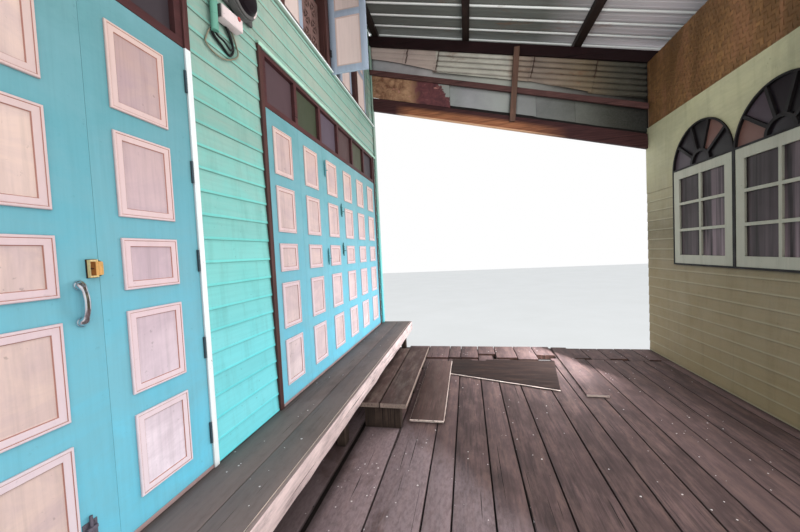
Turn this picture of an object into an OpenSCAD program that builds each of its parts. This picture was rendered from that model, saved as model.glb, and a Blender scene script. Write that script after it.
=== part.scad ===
// Timber stilt house: a two-storey living range, a covered boardwalk and a kitchen wing under one
// long lean-to roof. X runs across the house, Y along the boardwalk, Z up; the origin is on the
// ground at the middle of the house. Sizes in millimetres.

/* [Levels] */
// Top of the boardwalk above the ground
deck_top = 2200; // [1500:50:2800]
// Rise from the boardwalk to the house floor and ledge
floor_rise = 430; // [320:10:520]
// Height of the wall band between the transoms and the upper windows
band_h = 510; // [400:10:620]
// Height of the upper windows
window_h = 1270; // [1000:10:1400]
// Height of the wall above the upper windows
top_band_h = 700; // [560:10:800]
// Height of the cream boarding of the kitchen wing above the boardwalk
wing_board_h = 3100; // [3000:10:3200]

/* [Plan] */
// Depth of the living range, outside
house_depth = 4000; // [3400:100:5000]
// Clear width between the living range and the kitchen wing
walkway_w = 3910; // [3400:10:4300]
// Depth of the kitchen wing, outside
wing_depth = 2400; // [2000:100:3000]
// Overhang of the roofs beyond the back walls
eave = 400; // [250:10:600]
// Overhang of the roofs beyond the party walls
verge = 100; // [20:10:200]
// Thickness of the timber walls
wall_t = 100; // [80:5:130]
// Width of the boarded pier at each end of the front
end_pier_w = 153; // [120:1:260]
// Width of the boarded pier between the two door sets
middle_pier_w = 619; // [400:1:900]

/* [Folding doors] */
// Leaves in each folding set
leaf_count = 6; // [4:1:6]
// Width of a near leaf with its gap
near_leaf_w = 490; // [440:1:520]
// Width of a far leaf with its gap
far_leaf_w = 479; // [440:1:520]
// Height of a leaf
leaf_h = 2236; // [2180:1:2300]
// Thickness of a leaf
leaf_t = 38; // [32:1:50]
// Gap round a leaf
leaf_gap = 3; // [2:0.5:5]
// Width of the white jambs of the near set
white_jamb_w = 34; // [25:1:60]
// Width of the brown jambs of the far set
brown_jamb_w = 45; // [30:1:70]
// How far a jamb stands proud of the wall
jamb_proud = 10; // [4:1:20]
// Height of a tall panel over its moulding
panel_h = 355; // [330:1:360]
// Height of the short middle panel over its moulding
short_panel_h = 218; // [180:1:230]
// Width of a panel over its moulding
panel_w = 265; // [220:1:280]
// Stile beside a panel on its narrow side
stile_w = 90; // [80:1:110]
// Height of the bottom rail of a leaf
bottom_rail_h = 135; // [120:1:150]
// Height of the rails between the panels
rail_h = 88; // [80:1:92]
// Width of the raised moulding round a panel
moulding_w = 24; // [16:1:30]
// Height of the raised moulding
moulding_t = 9; // [5:1:12]
// Height of a transom over the doors
transom_h = 421; // [360:1:480]
// Width of the rails and posts of a transom
transom_bar_w = 44; // [30:1:60]
// Depth of a transom frame
transom_t = 70; // [50:1:80]

/* [Door fittings] */
// Height of a butt hinge
hinge_h = 115; // [60:1:130]
// Width of a butt hinge
hinge_w = 13; // [8:1:24]
// Width of the rim latch
latch_w = 56; // [40:1:70]
// Height of the rim latch
latch_h = 72; // [40:1:80]
// Length of the bow handle
handle_h = 176; // [140:1:220]
// Projection of the bow handle
handle_proud = 42; // [30:1:60]
// Diameter of the bow handle's bar
handle_d = 18; // [10:1:20]

/* [Upper windows] */
// Width of an upper window opening
window_w = 860; // [760:1:900]
// Width of the brown posts between the upper windows
post_w = 90; // [60:1:110]
// Double windows in the row
window_count = 6; // [3:1:6]
// Width of the single window at the far end of the row
single_window_w = 545; // [400:1:560]
// Thickness of a shutter
shutter_t = 30; // [24:1:36]
// Width of a shutter's frame
shutter_frame_w = 82; // [60:1:95]
// Height of the carved panel in the open window
carved_h = 600; // [450:10:700]
// Height of the sill rail under the shutters
sill_rail_h = 60; // [40:5:80]
// Height of the head rail over the shutters
head_rail_h = 50; // [30:5:70]
// How far the closed shutters sit behind the wall face
shutter_set = 45; // [20:5:60]

/* [Ledge and deck] */
// Width of the inner ledge plank
inner_plank_w = 250; // [200:1:320]
// Width of the outer ledge plank
outer_plank_w = 200; // [160:1:320]
// Thickness of the board along the outer edge of the ledge
nosing_t = 25; // [18:1:40]
// Depth of the board along the outer edge of the ledge
nosing_h = 145; // [60:1:145]
// Thickness of the ledge planks
plank_t = 50; // [40:1:60]
// Height of the step above the boardwalk
step_rise = 250; // [200:5:280]
// Length of the step
step_len = 1700; // [1200:10:2200]
// Distance of the step's far end from the end of the house
step_back = 850; // [700:10:1200]
// Thickness of the deck boards
board_t = 40; // [30:1:50]
// Gap between deck boards
board_gap = 8; // [4:1:12]
// Widths of the near run of deck boards from the house outwards, gaps included
near_widths = [100, 327, 327, 322, 172, 250, 202, 228, 300, 230, 230, 210, 230, 220, 230, 220, 240];
// Widths of the far run of deck boards from the house outwards, gaps included
far_widths = [100, 327, 327, 322, 172, 250, 245, 285, 265, 250, 230, 210, 230, 220, 230, 240];
// Length of the far run of deck boards
far_run_len = 590; // [500:10:900]
// Rise of the far run of deck boards over the near run
far_run_rise = 22; // [0:1:24]

/* [Frame] */
// Side of a square stilt
stilt_w = 150; // [120:5:200]
// Width of the bearers
bearer_w = 120; // [90:5:150]
// Depth of the bearers
bearer_h = 180; // [150:5:220]
// Width of the joists
joist_w = 60; // [45:5:75]
// Depth of the joists
joist_h = 120; // [100:5:150]
// Thickness of the floors
floor_t = 30; // [20:1:40]
// Number of stilt frames along the house
frame_count = 4; // [3:1:5]
// Number of joists along the house
joist_count = 15; // [9:2:19]

/* [Roofs] */
// Pitch of the main roof in degrees
main_pitch = 25; // [18:1:30]
// Pitch of the long lean-to roof in degrees
deck_pitch = 12.6; // [9:0.1:13]
// Drop from the wall head to the lean-to rafters at the wall
lean_to_drop = 540; // [480:10:560]
// Depth of a rafter
rafter_h = 160; // [120:5:180]
// Width of a rafter
rafter_w = 60; // [45:5:80]
// Width of a purlin
purlin_w = 100; // [60:5:120]
// Depth of a purlin of the lean-to roof
purlin_h = 70; // [50:5:90]
// Distance of the second purlin of the lean-to roof from the house wall
purlin_start = 1460; // [1000:10:1700]
// Spacing of the other purlins of the lean-to roof
purlin_step = 1540; // [1000:10:1800]
// Thickness of the roof sheets
sheet_t = 6; // [4:1:8]
// Pitch of the sheet ribs
rib_step = 240; // [180:10:300]
// Height of the sheet ribs
rib_h = 28; // [18:1:36]
// Depth of the lower beam of the end frame
tie_h = 200; // [160:5:240]
// Drop of the lower beam below the rafter at the wall
tie_drop = 970; // [800:10:1100]
// Pitch of the lower beam in degrees
tie_pitch = 14.8; // [13:0.1:15]

/* [Arched windows] */
// Width of an arched window over its frame
arch_w = 940; // [800:5:960]
// Height of the sill above the boardwalk
arch_sill = 1247; // [900:1:1300]
// Height of the straight part of an arched window
arch_h = 1123; // [1000:1:1200]
// Height of the round head above the rail under it
arch_rise = 450; // [400:1:470]
// Width of the dark arched frame
arch_frame_w = 18; // [14:1:40]
// Thickness of a sash
sash_t = 35; // [28:1:45]
// Width of a sash's outer bars
sash_bar_w = 100; // [60:1:110]
// Width of the glazing bars
glazing_bar_w = 30; // [18:1:35]
// Radial bars in a fanlight
fan_bars = 4; // [2:1:6]
// Width of the doorway into the wing
doorway_w = 900; // [750:10:1000]
// Height of the doorway into the wing
doorway_h = 2050; // [1950:10:2200]

/* [Hidden] */
// Overlap of a cutter with what it cuts
cut = 1;
// Clearance between timbers of one node that meet without being one piece
joint_gap = 0.3;
frontage = 2 * end_pier_w + 2 * white_jamb_w + 2 * brown_jamb_w + middle_pier_w
    + leaf_count * (near_leaf_w + far_leaf_w);
near_y = -frontage / 2;
far_y = frontage / 2;
total_w = 2 * eave + house_depth + walkway_w + wing_depth;
left_x = -total_w / 2;
back_x = left_x + eave;
face_x = back_x + house_depth;
wing_x = face_x + walkway_w;
wing_back_x = wing_x + wing_depth;
right_x = wing_back_x + eave;
ridge_x = back_x + house_depth / 2;

floor_z = deck_top + floor_rise;
leaf_z = floor_z + joint_gap;
transom_z = leaf_z + leaf_h + leaf_gap;
band_z = transom_z + transom_h;
window_z = band_z + band_h;
top_band_z = window_z + window_h;
plate_z = top_band_z + top_band_h;
upper_joist_z = band_z;
upper_floor_z = upper_joist_z + joist_h + floor_t;
board_z = deck_top - board_t;
deck_joist_z = board_z - joist_h;
deck_bearer_z = deck_joist_z - bearer_h;
house_joist_z = floor_z - floor_t - joist_h;
house_bearer_z = house_joist_z - bearer_h;

near_set_y = near_y + end_pier_w + white_jamb_w;
near_set_end = near_set_y + leaf_count * near_leaf_w;
middle_pier_y = near_set_end + white_jamb_w;
far_set_y = middle_pier_y + middle_pier_w + brown_jamb_w;
far_set_end = far_set_y + leaf_count * far_leaf_w;

// Exposed height of the lapped boards and how far each stands proud
lap = 128;
lap_t = 12;
wing_lap = 130;
wing_lap_t = 6;
wing_laps = 17;

// The row of upper windows, counted back from the far end
row_inset = 96;
window_step = window_w + post_w;
last_post_y = far_y - end_pier_w - single_window_w - post_w - row_inset;
first_post_y = last_post_y - window_count * window_step;
single_end_y = last_post_y + post_w + single_window_w;
open_window = window_count - 2;

deck_slope = tan(deck_pitch);
rafter_z = plate_z - lean_to_drop;
wing_board_z = deck_top + wing_board_h;
main_slope = tan(main_pitch);
tie_z = rafter_z - tie_drop;
tie_slope = tan(tie_pitch);
end_frame_y = far_y - rafter_w;

// The arched windows: a pair near each end of the wing and one in its back wall
pair_inset = 620;
spring_z = deck_top + arch_sill + arch_h;
sill_z = deck_top + arch_sill;
head_r = arch_w / 2;
head_z = spring_z + arch_rise - head_r;
pair_y = far_y - pair_inset - 2 * arch_w;
near_pair_y = near_y + pair_inset;
back_pair_y = -arch_w;
doorway_y = (near_pair_y + 2 * arch_w + pair_y - doorway_w) / 2;
pane_t = 5;

// Uneven ends of both runs, the sheet's outline from its far corner, and the loose boards
near_ends = [60, 20, 45, 30, 42, 42, 213, 60, 0, 0, 120, 120, 90, 90, 60, 60, 110];
far_ends = [60, 20, 45, 30, 42, 42, 213, 60, 0, 190, 120, 150, 90, 140, 60, 110];
patch_t = 20;
patch_x = face_x + 0.293 * walkway_w;
patch_far_y = far_y - far_run_len - board_gap;
patch_outline = [[0, 0], [0, -560], [1170, -975], [1345, 0]];
loose_board_w = 310;
loose_board_len = 1640;
loose_plank_w = 210;
loose_plank_len = 1680;
loose_plank_turn = 1.5;
raised_boards = [2, 9];

// The ledge on its rails and posts, and the step before it
ledge_w = inner_plank_w + outer_plank_w + nosing_t;
ledge_bearer_h = 60;
ledge_bearer_w = 70;
ledge_post_w = 90;
ledge_overhang = 105;
rail_x = face_x + ledge_w - ledge_bearer_w - ledge_overhang;
step_y = far_y - step_back - step_len;
step_x = rail_x + ledge_bearer_w + 30;
step_w = 438;
step_inner_w = 193;
step_block_inset = 60;

teal = [0.35, 0.74, 0.66];
door_blue = [0.13, 0.66, 0.70];
brown = [0.38, 0.22, 0.19];
grey_wood = [0.33, 0.29, 0.28];
dark_wood = [0.22, 0.15, 0.12];
cream = [0.72, 0.72, 0.55];
sheet_grey = [0.62, 0.64, 0.64];
lilac = [0.62, 0.73, 0.88];

function spread(i, count, low, high) = low + i * (high - low) / (count - 1);
function rafter_top(x) = rafter_z - (x - face_x) * deck_slope;
function tie_top(x) = tie_z - (x - face_x) * tie_slope;
function main_top(x) = plate_z + (house_depth / 2 - abs(x - ridge_x)) * main_slope;
function board_width(widths, i) = widths[min(i, len(widths) - 1)];
function board_start(widths, i) = i == 0 ? 0 : board_start(widths, i - 1) + board_width(widths, i - 1);
function boards_in(widths, w, i = 0) =
    board_start(widths, i) < w - 2 * board_gap ? boards_in(widths, w, i + 1) : i;

// A box from its lowest corner
module box(x, y, z, w, d, h) {
    translate([x, y, z]) cube([w, d, h]);
}

// An outline drawn in X and Z, drawn out along Y
module along_y(y, len) {
    translate([0, y + len, 0]) rotate([90, 0, 0]) linear_extrude(len) children();
}

// An outline drawn in Y and Z, drawn out along X
module along_x(x, len) {
    translate([x, 0, 0]) rotate([90, 0, 90]) linear_extrude(len) children();
}

// A straight timber with plumb ends whose top falls from z at x0
module sloping_beam(x0, x1, z, slope, depth, y, w) {
    drop = (x1 - x0) * slope;
    along_y(y, w) polygon([[x0, z], [x1, z - drop], [x1, z - drop - depth], [x0, z - depth]]);
}

// A wall of lapped boards seen from the +X side: each board stands proud at its lower edge
module lapped_wall(face, y, z, len, h, thick, step, proud) {
    count = floor(h / step - 0.01);
    steps = [for (i = [0:count]) each [[face, z + i * step],
        [face - proud, min(z + (i + 1) * step, z + h)]]];
    along_y(y, len) polygon(concat([[face - thick, z]], steps, [[face - thick, z + h]]));
}

// Boards at the foot of a wall that is smooth above them
module half_lapped_wall(face, y, z, len, h, thick, step, laps, proud) {
    steps = [for (i = [0:laps - 1]) each [[face, z + i * step], [face - proud, z + (i + 1) * step]]];
    along_y(y, len) polygon(concat([[face - thick, z]], steps,
        [[face, z + laps * step], [face, z + h], [face - thick, z + h]]));
}

module lapped_wall_back(face, y, z, len, h, thick, step, proud) {
    mirror([1, 0, 0]) lapped_wall(-face, y, z, len, h, thick, step, proud);
}

module stilts() color(dark_wood) {
    for (i = [0:frame_count - 1]) {
        y = spread(i, frame_count, near_y, far_y - stilt_w);
        for (x = [back_x, ridge_x - stilt_w / 2, face_x - stilt_w])
            box(x, y, 0, stilt_w, stilt_w, house_bearer_z);
        for (x = [(face_x + wing_x - stilt_w) / 2, wing_x, wing_back_x - stilt_w])
            box(x, y, 0, stilt_w, stilt_w, deck_bearer_z);
    }
}

module bearers() color(dark_wood) {
    edge = (stilt_w - bearer_w) / 2;
    for (x = [back_x + edge, ridge_x - bearer_w / 2, face_x - stilt_w + edge])
        box(x, near_y, house_bearer_z, bearer_w, frontage, bearer_h);
    for (x = [face_x, (face_x + wing_x - bearer_w) / 2, wing_x + edge, wing_back_x - stilt_w + edge])
        box(x, near_y, deck_bearer_z, bearer_w, frontage, bearer_h);
}

module joist_row(x0, x1, z, y0, y1) {
    for (i = [0:joist_count - 1])
        box(x0, spread(i, joist_count, y0, y1 - joist_w), z, x1 - x0, joist_w, joist_h);
}

module house_joists() color(dark_wood) {
    joist_row(back_x, face_x, house_joist_z, near_y, far_y);
    joist_row(back_x + wall_t, face_x - wall_t, upper_joist_z, near_y + wall_t, far_y - wall_t);
}

module deck_joists() color(dark_wood)
    joist_row(face_x, wing_back_x, deck_joist_z, near_y, far_y);

module floors() color(grey_wood) {
    box(back_x, near_y, floor_z - floor_t, house_depth, frontage, floor_t);
    box(back_x + wall_t, near_y + wall_t, upper_floor_z - floor_t,
        house_depth - 2 * wall_t, frontage - 2 * wall_t, floor_t);
    box(wing_x, near_y, board_z, wing_depth, frontage, board_t);
}

// Boards side by side over the walkway; starts and ends hold how far each begins past y0 and stops
// past y1, and the boards from the first to the last number in raised are thicker
module board_run(widths, y0, y1, starts, ends, raised) {
    count = boards_in(widths, walkway_w);
    for (i = [0:count - 1]) {
        low = board_start(widths, i) + (i == 0 ? 0 : board_gap);
        w = (i == count - 1 ? walkway_w : board_start(widths, i + 1)) - low;
        start = y0 + starts[i % len(starts)];
        stop = y1 + ends[i % len(ends)];
        rise = i >= raised[0] && i <= raised[1] ? far_run_rise : 0;
        box(face_x + low, start, board_z, w, stop - start, board_t + rise);
    }
}

// Long planks, and beyond them a short run with uneven ends, most of it a little higher
module deck_boards() color(grey_wood) {
    joint = far_y - far_run_len;
    board_run(near_widths, near_y, joint - board_gap, [0], near_ends, [0, -1]);
    board_run(far_widths, joint, far_y, far_ends, [0], raised_boards);
}

// A loose board, a thin sheet over the joint of the two runs, and a plank laid askew
module deck_patches() color(grey_wood) {
    box(patch_x - loose_board_w - 12, patch_far_y - loose_board_len - 120, deck_top, loose_board_w,
        loose_board_len, patch_t);
    translate([patch_x, patch_far_y, deck_top]) linear_extrude(patch_t / 2) polygon(patch_outline);
    plank_x = face_x + board_start(far_widths, raised_boards[1] + 1) - board_gap;
    translate([plank_x, far_y - loose_plank_len, deck_top]) rotate(-loose_plank_turn)
        cube([loose_plank_w, loose_plank_len - 10, patch_t]);
}

module ledge_planks() color(grey_wood) {
    box(face_x, near_y, floor_z - plank_t, inner_plank_w - board_gap, frontage, plank_t);
    box(face_x + inner_plank_w, near_y, floor_z - plank_t, outer_plank_w - joint_gap, frontage, plank_t);
    box(face_x + inner_plank_w + outer_plank_w, near_y, floor_z - nosing_h, nosing_t, frontage, nosing_h);
}

// Posts on the boardwalk, a long rail on them, and the blocks under the step
module ledge_frame() color(dark_wood) {
    rail_z = floor_z - plank_t - ledge_bearer_h;
    box(face_x, near_y, rail_z, ledge_bearer_w, frontage, ledge_bearer_h);
    box(rail_x, near_y, rail_z, ledge_bearer_w, frontage, ledge_bearer_h);
    for (i = [0:frame_count + 1], x = [face_x, rail_x])
        box(x, spread(i, frame_count + 2, near_y, far_y - ledge_post_w), deck_top, ledge_bearer_w,
            ledge_post_w, rail_z - deck_top - joint_gap);
    for (i = [0:2])
        box(step_x + 40, spread(i, 3, step_y, step_y + step_len - ledge_post_w - 2 * step_block_inset)
            + step_block_inset, deck_top, step_w - 110, ledge_post_w, step_rise - board_t);
}

module step_boards() color(grey_wood) {
    z = deck_top + step_rise - board_t;
    outer_x = step_x + step_inner_w + board_gap;
    box(step_x, step_y, z, step_inner_w, step_len - 60, board_t);
    box(outer_x, step_y, z, step_x + step_w - outer_x, step_len, board_t);
}

module front_piers() color(teal) {
    h = band_z - floor_z;
    lower = [[near_y, near_set_y - white_jamb_w], [middle_pier_y, middle_pier_y + middle_pier_w],
        [far_set_end + brown_jamb_w, far_y]];
    upper = [[near_y, first_post_y], [single_end_y, far_y]];
    for (y = lower) lapped_wall(face_x, y[0], floor_z, y[1] - y[0], h, wall_t, lap, lap_t);
    for (y = upper) lapped_wall(face_x, y[0], window_z, y[1] - y[0], window_h, wall_t, lap, lap_t);
}

module jamb(y, w)
    box(face_x - wall_t, y, floor_z, wall_t + jamb_proud, w, band_z - floor_z);

module near_jambs() color("white") {
    jamb(near_set_y - white_jamb_w, white_jamb_w);
    jamb(near_set_end, white_jamb_w);
}

module far_jambs() color(brown) {
    jamb(far_set_y - brown_jamb_w, brown_jamb_w);
    jamb(far_set_end, brown_jamb_w);
}

// The raised moulding of one panel in the Y-Z plane: a low outer fillet and a higher inner bead
module panel_moulding(y, z, w, h) {
    bead = moulding_w / 2;
    difference() {
        union() {
            box(0, y, z, moulding_t * 0.55, w, h);
            box(0, y + bead / 2, z + bead / 2, moulding_t, w - bead, h - bead);
        }
        box(moulding_t * 0.55, y + bead / 2 + bead, z + bead / 2 + bead, moulding_t,
            w - 3 * bead, h - 3 * bead);
        box(0, y + moulding_w, z + moulding_w, moulding_t, w - 2 * moulding_w, h - 2 * moulding_w);
    }
}

// One column of five panels, the middle one short
module panel_column(y) {
    heights = [panel_h, panel_h, short_panel_h, panel_h, panel_h];
    for (i = [0:4]) {
        z = bottom_rail_h + i * (panel_h + rail_h) - (i > 2 ? panel_h - short_panel_h : 0);
        panel_moulding(y, z, panel_w, heights[i]);
    }
}

// A leaf whose outer face is at x = 0; the panels sit off centre, the wide stile at the far side
module folding_leaf(w) {
    panel_y = stile_w - leaf_gap / 2 + (w - near_leaf_w) / 2;
    box(-leaf_t, 0, 0, leaf_t, w - leaf_gap, leaf_h);
    panel_column(panel_y);
    translate([-leaf_t, 0, 0]) mirror([1, 0, 0]) panel_column(panel_y);
}

module folding_set(y, w) {
    for (i = [0:leaf_count - 1])
        translate([face_x, y + i * w + leaf_gap / 2, leaf_z]) folding_leaf(w);
}

module near_folding_doors() color(door_blue) folding_set(near_set_y, near_leaf_w);

module far_folding_doors() color(door_blue) folding_set(far_set_y, far_leaf_w);

// A ladder-shaped light over a door set, one opening over each leaf
module transom(y, w) {
    x = face_x - transom_t;
    difference() {
        box(x, y, transom_z, transom_t, leaf_count * w, transom_h);
        transom_lights(y, w, x - cut, transom_t + 2 * cut);
    }
}

module transom_lights(y, w, x, t) {
    for (i = [0:leaf_count - 1]) {
        low = i == 0 ? transom_bar_w : transom_bar_w / 2;
        high = i == leaf_count - 1 ? transom_bar_w : transom_bar_w / 2;
        box(x, y + i * w + low, transom_z + transom_bar_w, t, w - low - high,
            transom_h - 2 * transom_bar_w);
    }
}

module transoms() color(brown) {
    transom(near_set_y, near_leaf_w);
    transom(far_set_y, far_leaf_w);
}

module glass_panes() color([0.35, 0.28, 0.36]) {
    x = face_x - transom_t / 2;
    transom_lights(near_set_y, near_leaf_w, x, pane_t);
    transom_lights(far_set_y, far_leaf_w, x, pane_t);
    for (y = [pair_y, near_pair_y, back_pair_y])
        for (k = [0, 1]) {
            wx = y == back_pair_y ? wing_back_x - sash_x - pane_t : wing_x + sash_x;
            sash_panes(wx + (sash_t - pane_t) / 2 * (y == back_pair_y ? -1 : 1), y + k * arch_w, pane_t);
            fan_panes(wx + (sash_t - pane_t) / 2 * (y == back_pair_y ? -1 : 1), y + k * arch_w);
        }
}

// Butt hinges on the white jamb and surface bolts on the meeting stiles
module door_fittings() color([0.12, 0.12, 0.13]) {
    for (i = [0:4])
        box(face_x, near_set_end - hinge_w - 2, leaf_z + (0.089 + i * 0.2085) * leaf_h - hinge_h / 2, 10,
            hinge_w, hinge_h);
    far_stile_y = far_set_y + 3 * far_leaf_w - stile_w / 2;
    bolt(latch_y - 128, leaf_z + 25, 48, 185);
    bolt(far_stile_y, leaf_z + 0.71 * leaf_h, 30, 110);
    bolt(far_stile_y, leaf_z + 0.51 * leaf_h, 30, 110);
}

module bolt(y, z, w, h) {
    box(face_x, y, z, 4, w, h);
    box(face_x + 4, y + w / 2 - 6, z - 15, 12, 12, h + 30);
}

latch_y = near_set_y + 5 * near_leaf_w;
latch_z = leaf_z + leaf_h / 2;

// A rim latch over the joint of the last two leaves
module rim_latch() color([0.78, 0.58, 0.2]) {
    z = latch_z - latch_h / 2;
    box(face_x, latch_y - latch_w + 12, z, 20, latch_w - 14, latch_h);
    box(face_x + 20, latch_y - latch_w / 2 - 8, z + latch_h / 2 - 7, 9, 14, 14);
    box(face_x, latch_y + 3, z + 4, 16, 16, latch_h - 8);
}

// A bow handle: a round bar bent out from two oval feet
module bow_handle() color([0.8, 0.8, 0.82]) {
    y = latch_y - latch_w - 12;
    z = latch_z - latch_h / 2 - 3 - handle_h / 2;
    foot_d = 40;
    span = handle_h - foot_d;
    reach = handle_proud - handle_d / 2;
    bend = 22;
    for (s = [-1, 1])
        translate([face_x, y, z + s * span / 2]) {
            rotate([0, 90, 0]) cylinder(h = 4, d = foot_d, $fn = 32);
            translate([4, 0, 0]) rotate([0, 90, 0]) cylinder(h = reach - bend - 4, d = handle_d, $fn = 24);
            translate([reach - bend, 0, -s * bend]) rotate([90, 0, 0])
                rotate([0, 0, s > 0 ? 0 : -90]) rotate_extrude(angle = 90, $fn = 48)
                    translate([bend, 0]) circle(d = handle_d, $fn = 24);
        }
    translate([face_x + reach, y, z - span / 2 + bend])
        cylinder(h = span - 2 * bend, d = handle_d, $fn = 24);
}

meter_y = middle_pier_y + 262;
meter_z = band_z + 60;

// A meter board with its box and a short conduit on the middle pier
module meter_box() color([0.4, 0.62, 0.55]) {
    box(face_x, meter_y, meter_z, 22, 300, 330);
    box(face_x + 22, meter_y + 70, meter_z + 70, 95, 170, 190);
    box(face_x, meter_y - 100, meter_z - 175, 26, 50, 420);
}

module front_bands() color(teal) {
    lapped_wall(face_x, near_y, band_z, frontage, band_h, wall_t, lap, lap_t);
    lapped_wall(face_x, near_y, top_band_z, frontage, top_band_h, wall_t, lap, lap_t);
}

// Brown posts, with a sill rail and a head rail between each two
module upper_posts() color(brown) {
    for (i = [0:window_count])
        box(face_x - wall_t, first_post_y + i * window_step, window_z, wall_t + jamb_proud, post_w,
            window_h);
    for (i = [0:window_count]) {
        w = i == window_count ? single_window_w : window_w;
        y = first_post_y + i * window_step + post_w + joint_gap;
        box(face_x - wall_t, y, window_z, wall_t, w - 2 * joint_gap, sill_rail_h);
        box(face_x - wall_t, y, top_band_z - head_rail_h, wall_t, w - 2 * joint_gap, head_rail_h);
    }
}

// A ledged shutter with two sunk panels on each face, hinge edge at y = 0, outer face at x = 0
module shutter(w, h) {
    f = shutter_frame_w;
    lower_h = 0.475 * h;
    sink = 7;
    difference() {
        box(-shutter_t, 0, 0, shutter_t, w, h);
        for (x = [-sink, -shutter_t - cut]) {
            box(x, f, f, sink + cut, w - 2 * f, lower_h - f);
            box(x, f, lower_h + f, sink + cut, w - 2 * f, h - lower_h - 2 * f);
        }
    }
}

shutter_w = (window_w - 3 * leaf_gap) / 2;
shutter_z = window_z + sill_rail_h + joint_gap;
shutter_h = window_h - sill_rail_h - head_rail_h - leaf_gap;
open_y = first_post_y + open_window * window_step + post_w;

module shutter_pair(y) {
    for (k = [0, 1])
        translate([face_x - shutter_set, y + leaf_gap + k * (shutter_w + leaf_gap), shutter_z])
            shutter(shutter_w, shutter_h);
}

// Closed shutters: all but the far leaf of the open window and the near leaf of the next one
module closed_shutters() color(lilac) {
    for (i = [0:window_count - 1])
        if (i < open_window) shutter_pair(first_post_y + i * window_step + post_w);
    translate([face_x - shutter_set, open_y + leaf_gap, shutter_z]) shutter(shutter_w, shutter_h);
    translate([face_x - shutter_set, open_y + window_step + 2 * leaf_gap + shutter_w, shutter_z])
        shutter(shutter_w, shutter_h);
    translate([face_x - shutter_set, last_post_y + post_w + leaf_gap, shutter_z])
        shutter(single_window_w - 2 * leaf_gap, shutter_h);
    for (w = back_windows)
        mirror([1, 0, 0]) translate([-back_x - face_x, 0, w[1] - shutter_z + joint_gap])
            shutter_pair(w[0]);
}

// One shutter swung square out past the far side of its post, on two hinge plates
module open_shutter() color(lilac) {
    hinge_out = 13;
    plate_w = 30;
    plate_h = 70;
    overlap = 20;
    h = window_h - overlap;
    translate([face_x + 4, open_y + window_step + hinge_out, window_z - overlap]) {
        rotate([0, 0, -90]) shutter(shutter_w, h);
        for (t = [0.14, 0.8])
            box(jamb_proud - 4, -hinge_out - plate_w, t * h, 4, hinge_out + plate_w, plate_h);
    }
}

// A pierced panel of rings and diamonds in a frame
module carved_panel() color(brown) {
    t = wall_t - shutter_set - shutter_t - 1;
    frame = 45;
    cell = (window_w - 2 * frame) / 5;
    rows = floor((carved_h - 2 * frame) / cell);
    row_h = (carved_h - 2 * frame) / rows;
    translate([face_x - wall_t, open_y, window_z + sill_rail_h]) rotate([90, 0, 90]) linear_extrude(t)
        difference() {
            square([window_w, carved_h]);
            for (i = [0:4], j = [0:rows - 1])
                translate([frame + (i + 0.5) * cell, frame + (j + 0.5) * row_h]) {
                    difference() {
                        circle(d = 0.86 * cell, $fn = 32);
                        circle(d = 0.52 * cell, $fn = 32);
                        for (a = [45, 135]) rotate(a) square([cell, 0.16 * cell], center = true);
                    }
                    for (a = [0:90:270])
                        rotate(a) translate([0.13 * cell, 0]) circle(d = 0.14 * cell, $fn = 16);
                }
        }
}

// Party walls: plain boarded slabs up to the slope of the roof
module party_walls() color(teal)
    for (y = [near_y, far_y - wall_t])
        along_y(y, wall_t) polygon([[back_x + wall_t, floor_z], [face_x - wall_t, floor_z],
            [face_x - wall_t, main_top(face_x - wall_t)], [ridge_x, main_top(ridge_x)],
            [back_x + wall_t, main_top(back_x + wall_t)]]);

back_inset = 0.19 * frontage;
back_sill = 0.29 * (band_z - floor_z);
back_windows = [for (z = [floor_z + back_sill, window_z],
    y = [near_y + back_inset, far_y - back_inset - window_w]) [y, z]];

module back_wall() color(teal)
    difference() {
        lapped_wall_back(back_x, near_y, floor_z, frontage, plate_z - floor_z, wall_t, lap, lap_t);
        for (w = back_windows)
            box(back_x - cut, w[0], w[1], wall_t + 2 * cut, window_w, shutter_h + leaf_gap);
    }

main_rafter_h = 110;
main_count = 5;

// Rafter pairs that meet at a ridge board
module main_rafters() color(dark_wood) {
    ridge_t = 36;
    for (i = [0:main_count - 1]) {
        y = spread(i, main_count, near_y, far_y - rafter_w);
        head = ridge_t / 2 + joint_gap;
        tail = house_depth / 2 + eave - 80;
        tail_z = plate_z - (eave - 80) * main_slope;
        for (s = [-1, 1])
            along_y(y, rafter_w) polygon([
                [ridge_x + s * head, main_top(ridge_x + head)],
                [ridge_x + s * house_depth / 2, plate_z],
                [ridge_x + s * tail, tail_z],
                [ridge_x + s * tail, tail_z + main_rafter_h],
                [ridge_x + s * head, main_top(ridge_x + head) + main_rafter_h]]);
    }
    box(ridge_x - ridge_t / 2, near_y, main_top(ridge_x), ridge_t, frontage, main_rafter_h);
}

main_purlin_rows = 4;
main_purlin_h = 50;

module main_purlins() color(dark_wood)
    for (s = [-1, 1], i = [0:main_purlin_rows - 1]) {
        x = spread(i, main_purlin_rows, 120, house_depth / 2 + eave - 160);
        z = plate_z + (house_depth / 2 - x) * main_slope + main_rafter_h;
        along_y(near_y - verge / 2, frontage + verge)
            polygon([[ridge_x + s * x, z], [ridge_x + s * (x + purlin_w), z - purlin_w * main_slope],
                [ridge_x + s * (x + purlin_w), z - purlin_w * main_slope + main_purlin_h],
                [ridge_x + s * x, z + main_purlin_h]]);
    }

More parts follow.
